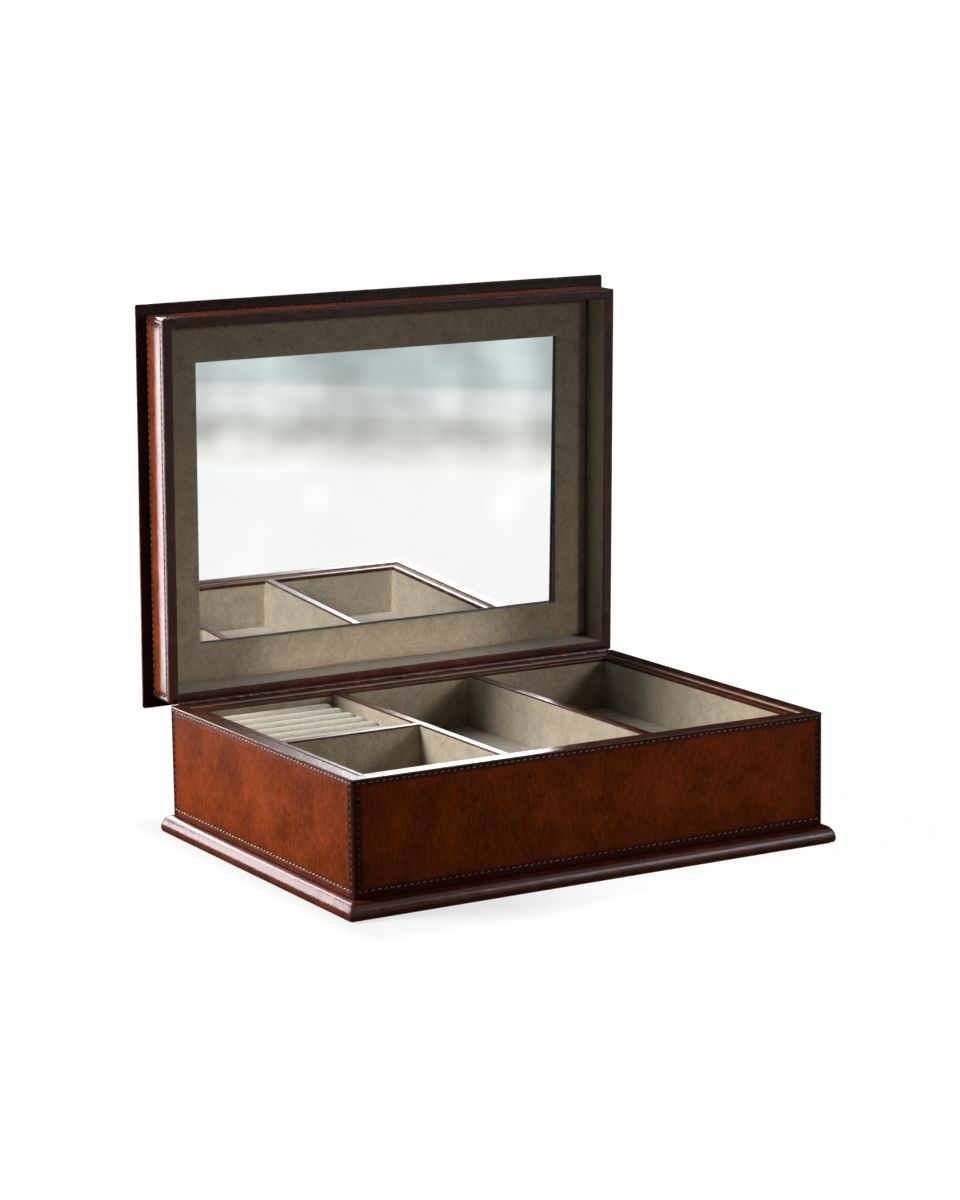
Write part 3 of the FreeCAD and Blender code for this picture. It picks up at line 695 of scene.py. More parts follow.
def hinge_material():
    material, tree, shader = material_tree("antique_bronze", Metallic=1.0)
    place = object_place(tree)
    age = tree.noise(place, 3.0, 5.0, 0.6)
    tree.feed(
        shader.inputs["Base Color"], tree.ramp(age, (0.35, (0.10, 0.06, 0.03)), (0.6, (0.30, 0.20, 0.11)))
    )
    tree.feed(shader.inputs["Roughness"], tree.ramp(age, (0.3, 0.45), (0.7, 0.28)))
    bump(tree, shader, tree.noise(place, 0.5, 3.0), 0.00005)
    return material


MATERIALS = {}


def build_materials(scene):
    """All finishes, made once from the settings."""
    look, soft = scene.ring_box_leather, scene.ring_box_suede
    build_leather_grain()
    build_suede_nap()
    build_strip_wrinkles()
    plum, light = tuple(look.edge_colour), tuple(look.edge_light)
    inset, nap = look.stitch_inset * 1000, soft.nap_size * 1000
    pale, lit_roll_suede = tuple(soft.suede_colour), tuple(soft.lit_roll_colour)
    # Painted light and shade: the plinth gets a lighter copy of the rim leather and the lid moulding a darker
    # copy, for how each is lit.
    lit_plum, lit_edge_light = shaded(plum, 1.7), shaded(light, 1.15)
    shaded_plum, shaded_edge_light = shaded(plum, 0.45), shaded(light, 0.55)
    for key, material in {
        "side_leather": stitched_leather("side_leather", look, inset, rough=0.34, gloss=0.022, depth=0.0001),
        "lid_side_leather": stitched_leather(
            "lid_side_leather", look, inset, rough=0.14, gloss=0.24, depth=0.00003
        ),
        "rim_leather": wrapped_leather(
            "rim_leather", plum, light, rough=0.14, grain_mm=0.8, crease_mm=2.4, relief=0.5, gloss=0.30,
            depth=0.00004
        ),
        "lid_rim_leather": wrapped_leather(
            "lid_rim_leather", plum, light, rough=0.22, grain_mm=0.8, crease_mm=2.4, relief=0.5, gloss=0.22,
            depth=0.0001
        ),
        "plinth_leather": wrapped_leather(
            "plinth_leather", lit_plum, lit_edge_light, rough=0.15, grain_mm=0.8, crease_mm=2.2, relief=0.3,
            gloss=0.24, depth=0.00003
        ),
        "moulding_leather": wrapped_leather(
            "moulding_leather", shaded_plum, shaded_edge_light, rough=0.26, grain_mm=0.7, crease_mm=2.2, relief=0.8,
            gloss=0.12, depth=0.0001
        ),
        "suede": suede("suede_lining", pale, nap, brush_mm=9.0),
        "board_suede": suede("board_suede", pale, nap, brush_mm=9.0, cut=True),
        "roll_suede": suede("roll_suede", lit_roll_suede, nap, brush_mm=7.0, contrast=0.7),
        "thread": thread_material(tuple(look.thread_colour)),
        "mirror": mirror_material(),
        "wood": wood_material(),
        "felt": felt_material(),
        "bronze": hinge_material(),
    }.items():
        MATERIALS[key] = material


def finish_node(name, material):
    """Gives a CAD node a better material."""
    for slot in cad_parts[name].material_slots:
        slot.material = material


# ---------------------------------------------------------------- settings

class RingBoxLeather(bpy.types.PropertyGroup):
    """Leather and stitching"""

    body_colour: bpy.props.FloatVectorProperty(
        name="Side colour", description="Dye of the stitched sides", subtype="COLOR", size=3, min=0, max=1,
        default=(0.186, 0.0320, 0.0068)
    )
    burnish_colour: bpy.props.FloatVectorProperty(
        name="Burnish colour", description="Leather outside the stitches", subtype="COLOR", size=3, min=0,
        max=1, default=(0.034, 0.0080, 0.0062)
    )
    edge_colour: bpy.props.FloatVectorProperty(
        name="Edge colour", description="Rims, caps and plinth", subtype="COLOR", size=3, min=0, max=1,
        default=(0.055, 0.0115, 0.0060)
    )
    edge_light: bpy.props.FloatVectorProperty(
        name="Edge light colour", description="Rubbed places of rims and plinth", subtype="COLOR", size=3,
        min=0, max=1, default=(0.145, 0.033, 0.011)
    )
    thread_colour: bpy.props.FloatVectorProperty(
        name="Thread colour", description="Waxed thread", subtype="COLOR", size=3, min=0, max=1,
        default=(0.62, 0.54, 0.47)
    )
    grain_size: bpy.props.FloatProperty(
        name="Grain size", description="Width of one pebble of the grain", unit="LENGTH", default=0.0009,
        min=0.0003, max=0.005, precision=5
    )
    stitch_pitch: bpy.props.FloatProperty(
        name="Stitch pitch", description="From one stitch to the next", unit="LENGTH", default=0.0037,
        min=0.001, max=0.01, precision=5
    )
    stitch_length: bpy.props.FloatProperty(
        name="Stitch length", description="Visible length of a stitch", unit="LENGTH", default=0.0025,
        min=0.0005, max=0.01, precision=5
    )
    stitch_inset: bpy.props.FloatProperty(
        name="Stitch inset", description="From a panel's edge to its stitches", unit="LENGTH",
        default=0.0029, min=0.001, max=0.01, precision=5
    )
    top_inset: bpy.props.FloatProperty(
        name="Top inset", description="From the body rim to the stitches below it", unit="LENGTH",
        default=0.0015, min=0.001, max=0.01, precision=5
    )
    foot_inset: bpy.props.FloatProperty(
        name="Foot inset", description="From the plinth to the stitches above it", unit="LENGTH",
        default=0.0039, min=0.001, max=0.01, precision=5
    )
    thread_radius: bpy.props.FloatProperty(
        name="Thread radius", description="Half the thickness of the thread", unit="LENGTH",
        default=0.00036, min=0.0001, max=0.002, precision=5
    )
    groove_depth: bpy.props.FloatProperty(
        name="Groove depth", description="Depth of the groove under the stitches", unit="LENGTH",
        default=0.00055, min=0.0, max=0.001, precision=5
    )


class RingBoxSuede(bpy.types.PropertyGroup):
    """Suede, pads and rolls"""

    suede_colour: bpy.props.FloatVectorProperty(
        name="Suede colour", description="Linings, mirror board and pads", subtype="COLOR", size=3, min=0,
        max=1, default=(0.392, 0.334, 0.244)
    )
    # Painted light: the rolls' suede is the lining suede made lighter for their lit tops.
    lit_roll_colour: bpy.props.FloatVectorProperty(
        name="Roll colour", description="Ring rolls", subtype="COLOR", size=3, min=0, max=1,
        default=(0.56, 0.51, 0.42)
    )
    nap_size: bpy.props.FloatProperty(
        name="Nap size", description="Size of the stipple of the nap", unit="LENGTH", default=0.0007,
        min=0.0002, max=0.005, precision=5
    )
    glass_lean: bpy.props.FloatProperty(
        name="Glass lean", description="How far the mirror glass leans forward in its frame",
        subtype="ANGLE", default=math.radians(0.59), min=0.0, max=math.radians(0.9)
    )
    corner_radius: bpy.props.FloatProperty(
        name="Corner radius", description="Rounding of the linings' inner corners", unit="LENGTH",
        default=0.001, min=0.0001, max=0.005, precision=5
    )


class RingBoxStage(bpy.types.PropertyGroup):
    """Floor, lamps and camera"""

    key_power: bpy.props.FloatProperty(
        name="Key lamp", description="Power of the large lamp at the left", unit="POWER", default=54.0,
        min=0
    )
    window_power: bpy.props.FloatProperty(
        name="Window lamp", description="Power of the narrow low beam from the front right", unit="POWER",
        default=0.15, min=0
    )
    back_power: bpy.props.FloatProperty(
        name="Back lamp",
        description="Power of the low lamp behind that only gives gloss to the lid's side", unit="POWER",
        default=1.7, min=0
    )
    slope_power: bpy.props.FloatProperty(
        name="Slope lamp", description="Power of the lamp behind that only gives gloss to the plinth",
        unit="POWER", default=3.2, min=0
    )
    bounce_power: bpy.props.FloatProperty(
        name="Bounce lamp",
        description="Power of the light that the tray's caps throw on the foot of the lid", unit="POWER",
        default=0.0078, min=0, precision=4
    )
    ambient: bpy.props.FloatProperty(
        name="Ambient", description="Strength of the even light all round", default=0.012, min=0
    )
    floor_shade: bpy.props.FloatProperty(
        name="Floor shade", description="How pale the floor is to light", default=0.16, min=0, max=1
    )


# ---------------------------------------------------------------- side leather

# Burnish amounts for panel margins; the key-lit left side gets less than the others, a difference that is
# painted light.
FULL_BURNISH, LIT_SIDE_BURNISH, DARK_END = 0.9, 0.35, 5.0


def face_relief(edge, row, inset, groove, points, seed):
    """How far a stitched panel's face stands behind its plane, from its distance to the edge
    and from row, which is the inset on the stitch rows and grows inward."""
    lift = -0.60 * np.clip(1 - edge / 1.0, 0, 1) ** 2
    lift -= groove * np.exp(-(((row - inset) / 0.42) ** 2))
    lift -= 0.10 * np.exp(-(((row - inset - 1.1) / 0.9) ** 2))
    uneven = 0.5 * waves(points, 30.0, seed) + 0.3 * waves(points, 9.0, seed + 1)
    return lift - 0.08 + 0.07 * uneven * np.clip(edge / 6.0, 0, 1)


def row_insets(look, lid):
    """Distances of a panel's lower and upper stitch rows from its edges; the lid's are all alike."""
    return (look.stitch_inset * 1000,) * 2 if lid else (look.foot_inset * 1000, look.top_inset * 1000)


def stitched_panel(name, size, to_space, look, body, stands_for, seed, lid=False, burnish=FULL_BURNISH):
    """One leather face panel with rolled edges and a stitch groove all round.

    to_space(u, v, out) places a point by its place on the face and its height off it; burnish
    is how dark the leather outside the stitches is."""
    width, height = size
    inset, groove = look.stitch_inset * 1000, look.groove_depth * 1000
    foot, top = row_insets(look, lid)
    us, vs = (stations(length, step=2.6, fine=0.27, band=5.2) for length in size)

    def edge_of(u, v):
        return np.minimum(np.minimum(u, width - u), np.minimum(v, height - v))

    def row_of(u, v):
        return np.minimum(np.minimum(u, width - u), np.minimum(v - foot, height - v - top) + inset)

    def face(u, v):
        flat = to_space(u, v, 0 * u)
        return to_space(u, v, face_relief(edge_of(u, v), row_of(u, v), inset, groove, flat, seed))

    def back(u, v):
        turn = PANEL * 0.96
        return to_space(np.clip(u, turn, width - turn), v, 0 * u - PANEL)

    points, faces, loop = sheet_solid(us, vs, face, back)
    grid_u, grid_v = (g.ravel() for g in np.meshgrid(us, vs, indexing="ij"))
    row = row_of(grid_u, grid_v)
    if lid:
        points = opened(points)
    dark = np.where(np.minimum(grid_u, width - grid_u) < DARK_END, FULL_BURNISH, burnish)
    values = {"edge": np.concatenate([row, row[loop]]), "burnish": np.concatenate([dark, dark[loop]])}
    mesh = make_mesh(name, points, faces, values, 50.0)
    return make_piece(name, mesh, "lid_side_leather" if lid else "side_leather", body, stands_for)


def lid_top_place(u, v, out):
    """Point of the lid's top, by its place on the face and its height off it."""
    return stack(u - LID_TOP_HALF[0], v - LID_TOP_HALF[1], LID_TOP + out)


def side_places(z0):
    """to_space functions of the four sides, each from its own left end, looked at from outside."""
    return {
        "front": lambda u, v, out: stack(-PANEL_HALF_LENGTH + u, -HALF_DEPTH - out, z0 + v),
        "right": lambda u, v, out: stack(HALF_LENGTH + out, -PANEL_HALF_DEPTH + u, z0 + v),
        "back": lambda u, v, out: stack(PANEL_HALF_LENGTH - u, HALF_DEPTH + out, z0 + v),
        "left": lambda u, v, out: stack(-HALF_LENGTH - out, PANEL_HALF_DEPTH - u, z0 + v),
    }


LONG_RUN, SHORT_RUN = 2 * PANEL_HALF_LENGTH, 2 * PANEL_HALF_DEPTH
SIDE_RUN = {"front": LONG_RUN, "back": LONG_RUN, "left": SHORT_RUN, "right": SHORT_RUN}


class RINGBOX_OT_side_leather(bpy.types.Operator):
    """Makes the stitched leather panels of the body's four sides"""

    bl_idname = "ringbox.side_leather"
    bl_label = "Side Leather"

    def execute(self, context):
        look = context.scene.ring_box_leather
        places = side_places(BODY_BASE)
        for seed, (side, run) in enumerate(SIDE_RUN.items()):
            size = (run, RIM_UNDER - BODY_BASE)
            name, nodes = "side_leather_" + side, ["panel_" + side]
            # Painted light: the lit left side's margins are darkened less.
            burnish = LIT_SIDE_BURNISH if side == "left" else FULL_BURNISH
            piece = stitched_panel(
                name, size, places[side], look, "base", nodes, seed + 1.0, burnish=burnish
            )
            if side == "back":
                cut_hinge_room(piece, False)
        return {"FINISHED"}


class RINGBOX_OT_lid_leather(bpy.types.Operator):
    """Makes the stitched leather of the lid: its four sides and its top"""

    bl_idname = "ringbox.lid_leather"
    bl_label = "Lid Leather"

    def execute(self, context):
        look = context.scene.ring_box_leather
        places = side_places(LID_WOOD)
        for seed, (side, run) in enumerate(SIDE_RUN.items()):
            name, size = "lid_leather_" + side, (run, LID_PANEL)
            nodes = ["lid_panels_ends" if side in ("left", "right") else "lid_panel_" + side]
            piece = stitched_panel(name, size, places[side], look, "lid", nodes, seed + 11.0, True)
            if side == "back":
                cut_hinge_room(piece, True)
        size = (2 * LID_TOP_HALF[0], 2 * LID_TOP_HALF[1])
        stitched_panel("lid_leather_top", size, lid_top_place, look, "lid", ["lid_top_panel"], 21.0, True)
        return {"FINISHED"}


# ---------------------------------------------------------------- strips

BOX_HALF = (HALF_LENGTH, HALF_DEPTH)
PLINTH_INWARD = 4.0
WRAPPED_SHARP = 60.0


def wavy(amount, size, seed, fine):
    """Relief function: gentle lumps and fine creases of wrapped leather, never outside the surface."""
    def relief(run, across, points):
        lumps = amount * (waves(points, size, seed) - 1) / 2
        creases = stack(run / 1.6, across / 4.0, 0)
        return lumps + fine * (waves(creases, 1.0, seed + 3) - 1) / 2
    return relief


def wrapped_ring(name, outline, half, corner, relief, material, body, stands_for, lid=False, fine=0.5):
    """Leather-wrapped frame round the box or the tray as one piece."""
    points, faces, values = ring(outline, *half, corner, relief, step=1.2, fine=fine)
    mesh = make_mesh(name, opened(points) if lid else points, faces, values, WRAPPED_SHARP)
    return make_piece(name, mesh, material, body, stands_for)


def mitre_round(least, base):
    """Plan radius of a moulding's corners, which grows outward."""
    return lambda out: max(least, base + 0.16 * out)


class RINGBOX_OT_plinth(bpy.types.Operator):
    """Makes the leather-wrapped plinth moulding"""

    bl_idname = "ringbox.plinth"
    bl_label = "Plinth"

    def execute(self, context):
        low, lumps_room = FELT_TOP, 0.35
        nose = PLINTH_NOSE_X - HALF_LENGTH + lumps_room
        foot, edge = low + 1.6, 0.3
        swell = [
            (edge + (nose - edge) * math.sin(a), foot + (BODY_BASE - foot) * math.cos(a), 0)
            for a in np.linspace(0.12, math.pi / 2, 14)
        ]
        back = [(-PLINTH_INWARD, low, 0), (-PLINTH_INWARD, BODY_BASE, 0), (0.0, BODY_BASE, 0)]
        outline = section(back + swell + [(nose - 0.7, low, 0.2)], 0.9, 6)
        relief, corner = wavy(0.12, 9.0, 31.0, 0.02), mitre_round(0.05, 0.5)
        nodes = ["plinth_long", "plinth_ends"]
        wrapped_ring(
            "plinth_leather", outline, BOX_HALF, corner, relief, "plinth_leather", "base", nodes, fine=0.6
        )
        return {"FINISHED"}


class RINGBOX_OT_rims(bpy.types.Operator):
    """Makes the leather edges of body and lid and the piping beside the hinges"""

    bl_idname = "ringbox.rims"
    bl_label = "Rims"

    def execute(self, context):
        width = HALF_LENGTH - RIM_INNER_X
        outline = section(
            [(0, RIM_UNDER, 0), (0, RIM_TOP, 0.12), (-width, RIM_TOP, 0.5), (-width, RIM_UNDER, 0)], 0.8
        )
        nodes, relief = ["rim_front", "rim_back", "rim_ends"], wavy(0.06, 9.0, 41.0, 0.02)
        corner = lambda out: 1.4 if out > -1 else 0.3
        rim = wrapped_ring("body_rim", outline, BOX_HALF, corner, relief, "rim_leather", "base", nodes)
        cut_hinge_room(rim, False)

        width = LID_RIM_WIDTH
        outline = section(
            [(0, LID_WOOD, 0), (0, LID_RIM, 0.5), (-width, LID_RIM, 0.65), (-width, LID_WOOD, 0)], 0.8
        )
        nodes, relief = ["lid_rim_front", "lid_rim_back", "lid_rim_ends"], wavy(0.10, 9.0, 51.0, 0.04)
        corner = lambda out: 1.2 if out > -1 else 0.5
        rim = wrapped_ring(
            "lid_rim", outline, BOX_HALF, corner, relief, "lid_rim_leather", "lid", nodes, True
        )
        cut_hinge_room(rim, True)

        low, high = span("hinge_piping")
        radius, middle = (high[2] - low[2]) / 2, (low + high) / 2
        turns = np.linspace(0, 2 * math.pi, 12, endpoint=False)
        outline = radius * np.stack([np.cos(turns), np.sin(turns)], 1)
        to_space = lambda run, side, height: stack(low[0] + run, middle[1] + side, middle[2] + height)
        points, faces, values = bar(outline, high[0] - low[0], to_space, 0.8, wavy(0.10, 2.5, 61.0, 0.12))
        mesh = make_mesh("hinge_cord", points, faces, values)
        make_piece("hinge_cord", mesh, "rim_leather", "base", ["hinge_piping"])
        return {"FINISHED"}


class RINGBOX_OT_hinge_cover(bpy.types.Operator):
    """Makes the rolled leather strip that hides the hinges"""

    bl_idname = "ringbox.hinge_cover"
    bl_label = "Hinge Cover"

    def execute(self, context):
        half, radius, thick, lift = HALF_LENGTH - 3.8, 2.35, 0.4, 0.12
        angles = np.linspace(math.radians(182), math.radians(76), 13)
        arc = np.stack([np.cos(angles), np.sin(angles)], 1)
        outline = np.concatenate([radius * arc[::-1], (radius + thick) * arc])[::-1]
        to_space = lambda run, side, height: stack(run - half, HINGE_Y + side, HINGE_Z + lift + height)
        points, faces, values = bar(outline, 2 * half, to_space, 0.9, wavy(0.12, 3.0, 65.0, 0.42))
        mesh = make_mesh("hinge_cover", points, faces, values, WRAPPED_SHARP)
        cover = make_piece("hinge_cover", mesh, "rim_leather")
        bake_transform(cover)
        return {"FINISHED"}


class RINGBOX_OT_tray_caps(bpy.types.Operator):
    """Makes the leather caps over the tray's walls and dividers"""

    bl_idname = "ringbox.tray_caps"
    bl_label = "Tray Caps"

    def execute(self, context):
        wall, turn_down, proud, inward = TRAY_OUT_X - BAY_X, TRAY_TOP - 2.3, -0.3, 0.8
        crease = [(3.9, TRAY_TOP, 0), (3.6, TRAY_TOP - 0.25, 0), (3.3, TRAY_TOP, 0)]
        outline = section([
            (wall, CAP_UNDER, 0),
            (wall, TRAY_TOP, 0.4),
            *crease,
            (proud, TRAY_TOP, 0.7),
            (proud, turn_down, 0.3),
            (inward, turn_down, 0),
            (inward, CAP_UNDER, 0),
        ], 0.8)
        nodes, relief = ["tray_caps_long", "tray_caps_ends"], wavy(0.06, 8.0, 71.0, 0.02)
        wrapped_ring(
            "tray_cap_walls", outline, (BAY_X, BAY_Y), lambda out: 0.45, relief, "rim_leather", "tray",
            nodes
        )
        for seed, which in enumerate(("left", "right", "cross")):
            node, name = "divider_cap_" + which, "divider_leather_" + which
            low, high = span(node)
            along = 0 if which == "cross" else 1
            half, middle = (high - low)[1 - along] / 2, (high + low)[1 - along] / 2
            rounding = 0.45
            corners = [
                (-half, low[2], 0), (half, low[2], 0), (half, high[2], rounding), (-half, high[2], rounding)
            ]

            def to_space(run, side, height, start=low[along], middle=middle, along=along):
                return stack(start + run, middle + side, height)[:, [along, 1 - along, 2]]

            relief = wavy(0.06, 8.0, 81.0 + seed, 0.02)
            points, faces, values = bar(
                section(corners, 0.7), high[along] - low[along], to_space, 1.2, relief
            )
            mesh = make_mesh(name, points, faces, values, WRAPPED_SHARP)
            make_piece(name, mesh, "rim_leather", "tray", [node])
        return {"FINISHED"}


class RINGBOX_OT_lid_mouldings(bpy.types.Operator):
    """Makes the leather-wrapped moulding round the lid's top"""

    bl_idname = "ringbox.lid_mouldings"
    bl_label = "Lid Mouldings"

    def execute(self, context):
        outline = section([
            (-MOULDING_INWARD, LEDGE, 0),
            (MOULDING_REACH, LEDGE, 0.6),
            (MOULDING_REACH, LEDGE + 1.7, 1.5),
            (2.2, LID_TOP, 2.0),
            (-MOULDING_INWARD, LID_TOP, 0.3),
        ], 0.8)
        nodes, relief = ["lid_mouldings_long", "lid_mouldings_ends"], wavy(0.12, 9.0, 91.0, 0.05)
        corner = mitre_round(0.05, 0.4)
        wrapped_ring(
            "lid_moulding", outline, BOX_HALF, corner, relief, "moulding_leather", "lid", nodes, True, 0.6
        )
        return {"FINISHED"}


# ---------------------------------------------------------------- suede

def sleeve(name, inner, z0, z1, radius, body, stands_for, seed, lid=False):
    """Suede sleeve round four walls, its inner corners rounded and its faces softly uneven."""
    x0, x1, y0, y1 = inner
    half_x, half_y = (x1 - x0) / 2, (y1 - y0) / 2
    outline = section([(0, z0, 0), (0, z1, 0.25), (LINING, z1, 0), (LINING, z0, 0)], 3.0, 2)

    def relief(run, across, points):
        return 0.10 * (waves(points, 14.0, seed) - 1) / 2

    corner = lambda out: radius if out < LINING / 2 else 0.1
    middle = ((x0 + x1) / 2, (y0 + y1) / 2)
    points, faces, values = ring(outline, half_x, half_y, corner, relief, 3.0, 1.0, middle, band=5.0, arc=5)
    if lid:
        points = opened(points)
    return make_piece(name, make_mesh(name, points, faces, values), "suede", body, stands_for)


def bay_of(node):
    """Inner faces of a bay from its lining's box."""
    low, high = span(node)
    return low[0] + LINING, high[0] - LINING, low[1] + LINING, high[1] - LINING


class RINGBOX_OT_linings(bpy.types.Operator):
    """Makes the suede sleeves of the bays, the body and the lid"""

    bl_idname = "ringbox.linings"
    bl_label = "Linings"

    def execute(self, context):
        radius = context.scene.ring_box_suede.corner_radius * 1000
        for seed, bay in enumerate(("ring_bay", "front_left", "middle", "right")):
            node = "lining_" + bay
            z0, z1 = span(node)[0][2], span(node)[1][2]
            sleeve("bay_suede_" + bay, bay_of(node), z0, z1, radius, "tray", [node], seed + 1.0)
        top = TRAY_TOP - 2.0
        sleeve("body_suede", bay_of("base_lining"), BODY_BASE, top, 0.4, "base", ["base_lining"], 6.0)
        half_x, half_y = HALF_LENGTH - LID_RIM_WIDTH, HALF_DEPTH - LID_RIM_WIDTH
        walls = (-half_x, half_x, -half_y, half_y)
        sleeve("lid_suede", walls, LID_WOOD, LEDGE, radius, "lid", ["lid_lining"], 7.0, True)
        return {"FINISHED"}


class RINGBOX_OT_mirror(bpy.types.Operator):
    """Makes the padded suede board round the mirror and silvers the glass"""

    bl_idname = "ringbox.mirror"
    bl_label = "Mirror"

    def execute(self, context):
        border, lap, lap_end = MIRROR_BORDER - BOARD_EDGE, 6.5, 0.5
        outline = section([
            (0, GLASS_FACE, 0.2),
            (0, MIRROR_FACE, 1.0),
            (border, MIRROR_FACE, 1.2),
            (border, LEDGE, 0),
            (lap, LEDGE, 0),
            (lap, GLASS_FACE, 0),
        ], 2.0, 5)

        def relief(run, across, points):
            return 0.25 * (waves(points, 22.0, 5.0) - 1) / 2 * (points[:, 2] < MIRROR_FACE + lap_end)

        half_x, half_y = HALF_LENGTH - MIRROR_BORDER, HALF_DEPTH - MIRROR_BORDER
        corner = lambda out: 0.25 if out < 10 else 1.0
        points, faces, values = ring(outline, half_x, half_y, corner, relief, step=3.0, fine=1.0)
        mesh = make_mesh("mirror_surround", opened(points), faces, values)
        make_piece("mirror_surround", mesh, "board_suede", "lid", ["mirror_board"])
        lean, under, thick = math.tan(context.scene.ring_box_suede.glass_lean), 5.0, 0.25
        quarter = ((-1, -1), (1, -1), (1, 1), (-1, 1))
        corners = [(x * (half_x + under), y * (half_y + under)) for x, y in quarter]
        points = [(x, y, GLASS_FACE + lean * y + back) for back in (0.0, thick) for x, y in corners]
        faces = [(3, 2, 1, 0), (4, 5, 6, 7)] + [(k, (k + 1) % 4, (k + 1) % 4 + 4, k + 4) for k in range(4)]
        make_piece(
            "mirror_plate", make_mesh("mirror_plate", opened(points), faces), "mirror", "lid",
            ["mirror_glass"]
        )
        return {"FINISHED"}


def pad_shape(low, high, crown, rounding, seed):
    """Thin stuffed pad: rounded edges, a slight crown and sides that pull in between the corners."""
    width, depth = high[0] - low[0], high[1] - low[1]
    us, vs = (stations(length, step=2.5, fine=0.35, band=3.0) for length in (width, depth))

    def pull(across, size, along, length):
        near = np.clip(1 - np.minimum(across, size - across) / 6, 0, 1)
        return 0.35 * np.sin(np.pi * along / length) * near * np.sign(size / 2 - across)

    def face(u, v):
        edge = np.minimum(np.minimum(u, width - u), np.minimum(v, depth - v))
        middle = np.sin(np.pi * u / width) * np.sin(np.pi * v / depth)
        drop = rounding * (1 - np.sqrt(1 - np.clip(1 - edge / rounding, 0, 1) ** 2))
        soft = 0.12 * (waves(stack(low[0] + u, low[1] + v, high[2]), 16.0, seed) - 1) / 2
        x = low[0] + u + pull(u, width, v, depth)
        y = low[1] + v + pull(v, depth, u, width)
        return stack(x, y, high[2] - crown + crown * middle - drop + soft)

    def back(u, v):
        return stack(low[0] + u, low[1] + v, low[2])

    return sheet_solid(us, vs, face, back)


class RINGBOX_OT_pads(bpy.types.Operator):
    """Makes the padded floors of the bays, the ring bed and the pad under the tray"""

    bl_idname = "ringbox.pads"
    bl_label = "Pads"

    def execute(self, context):
        for seed, (node, body, crown, rounding) in enumerate((
            ("pad_front_left", "tray", 0.25, 0.6),
            ("pad_middle", "tray", 0.25, 0.6),
            ("pad_right", "tray", 0.25, 0.6),
            ("ring_bed", "tray", 0.5, 1.5),
            ("lower_pad", "base", 0.3, 0.8),
        )):
            points, faces, _ = pad_shape(*span(node), crown, rounding, seed + 1.0)
            name = node + "_suede"
            piece = make_piece(
                name, make_mesh(name, points, faces, None, 60.0), "suede", body, [node]
            )
        return {"FINISHED"}


class RINGBOX_OT_ring_rolls(bpy.types.Operator):
    """Makes the stuffed rolls that hold the rings"""

    bl_idname = "ringbox.ring_rolls"
    bl_label = "Ring Rolls"

    def execute(self, context):
        low, high = span("ring_rolls")
        count, gap, end_room, lumps_room = 7, 0.44, 1.5, 2.0
        radius = (high[1] - low[1] + gap) / count / 2 - gap / 2
        for index in range(count):
            middle = low[1] + radius + (2 * radius + gap) * index
            ends, levels = (low[0], high[0] - end_room), (low[2], high[2] - lumps_room)
            points, faces = roll_shape(ends, middle, radius, levels, index + 1.0)
            name = "ring_roll_%d" % (index + 1)
            mesh = make_mesh(name, points, faces, None, 70.0)
            piece = make_piece(name, mesh, "roll_suede", "tray", ["ring_rolls"])
        return {"FINISHED"}


def roll_shape(ends, middle, radius, levels, seed):
    """One stuffed roll: half round on top, flat sides, and ends rounded in like a bolster."""
    (x0, x1), (z0, z1) = ends, levels
    length, rounding, around = x1 - x0, 4.4, 28
    places = stations(length, step=1.6, fine=0.35, band=4.6)
    points = []
    for t in places:
        end = min(t, length - t)
        shrink = 1 - math.sqrt(max(0.0, 1 - max(0.0, 1 - end / rounding) ** 2))
        slim, crest, waist = radius - rounding * 0.8 * shrink, z1 - rounding * 1.1 * shrink, z1 - radius
        for k in range(around):
            c, s = math.cos(2 * math.pi * k / around), math.sin(2 * math.pi * k / around)
            side = slim * math.copysign(abs(c) ** (0.35 if s < 0 else 1.0), c)
            height = waist + (crest - waist) * s if s >= 0 else waist - (waist - z0) * math.sqrt(-s)
            points.append((x0 + t, middle + side, max(z0, height)))
    points = np.array(points)
    lift = 0.22 * (waves(points, 9.0, seed) - 1) / 2
    upper = np.clip((points[:, 2] - z0 - 4) / 6, 0, 1)
    points[:, 2] += lift * upper
    points[:, 1] += (points[:, 1] - middle) / radius * lift * upper
    return points, tube_faces(len(places), around)


# ---------------------------------------------------------------- stitches

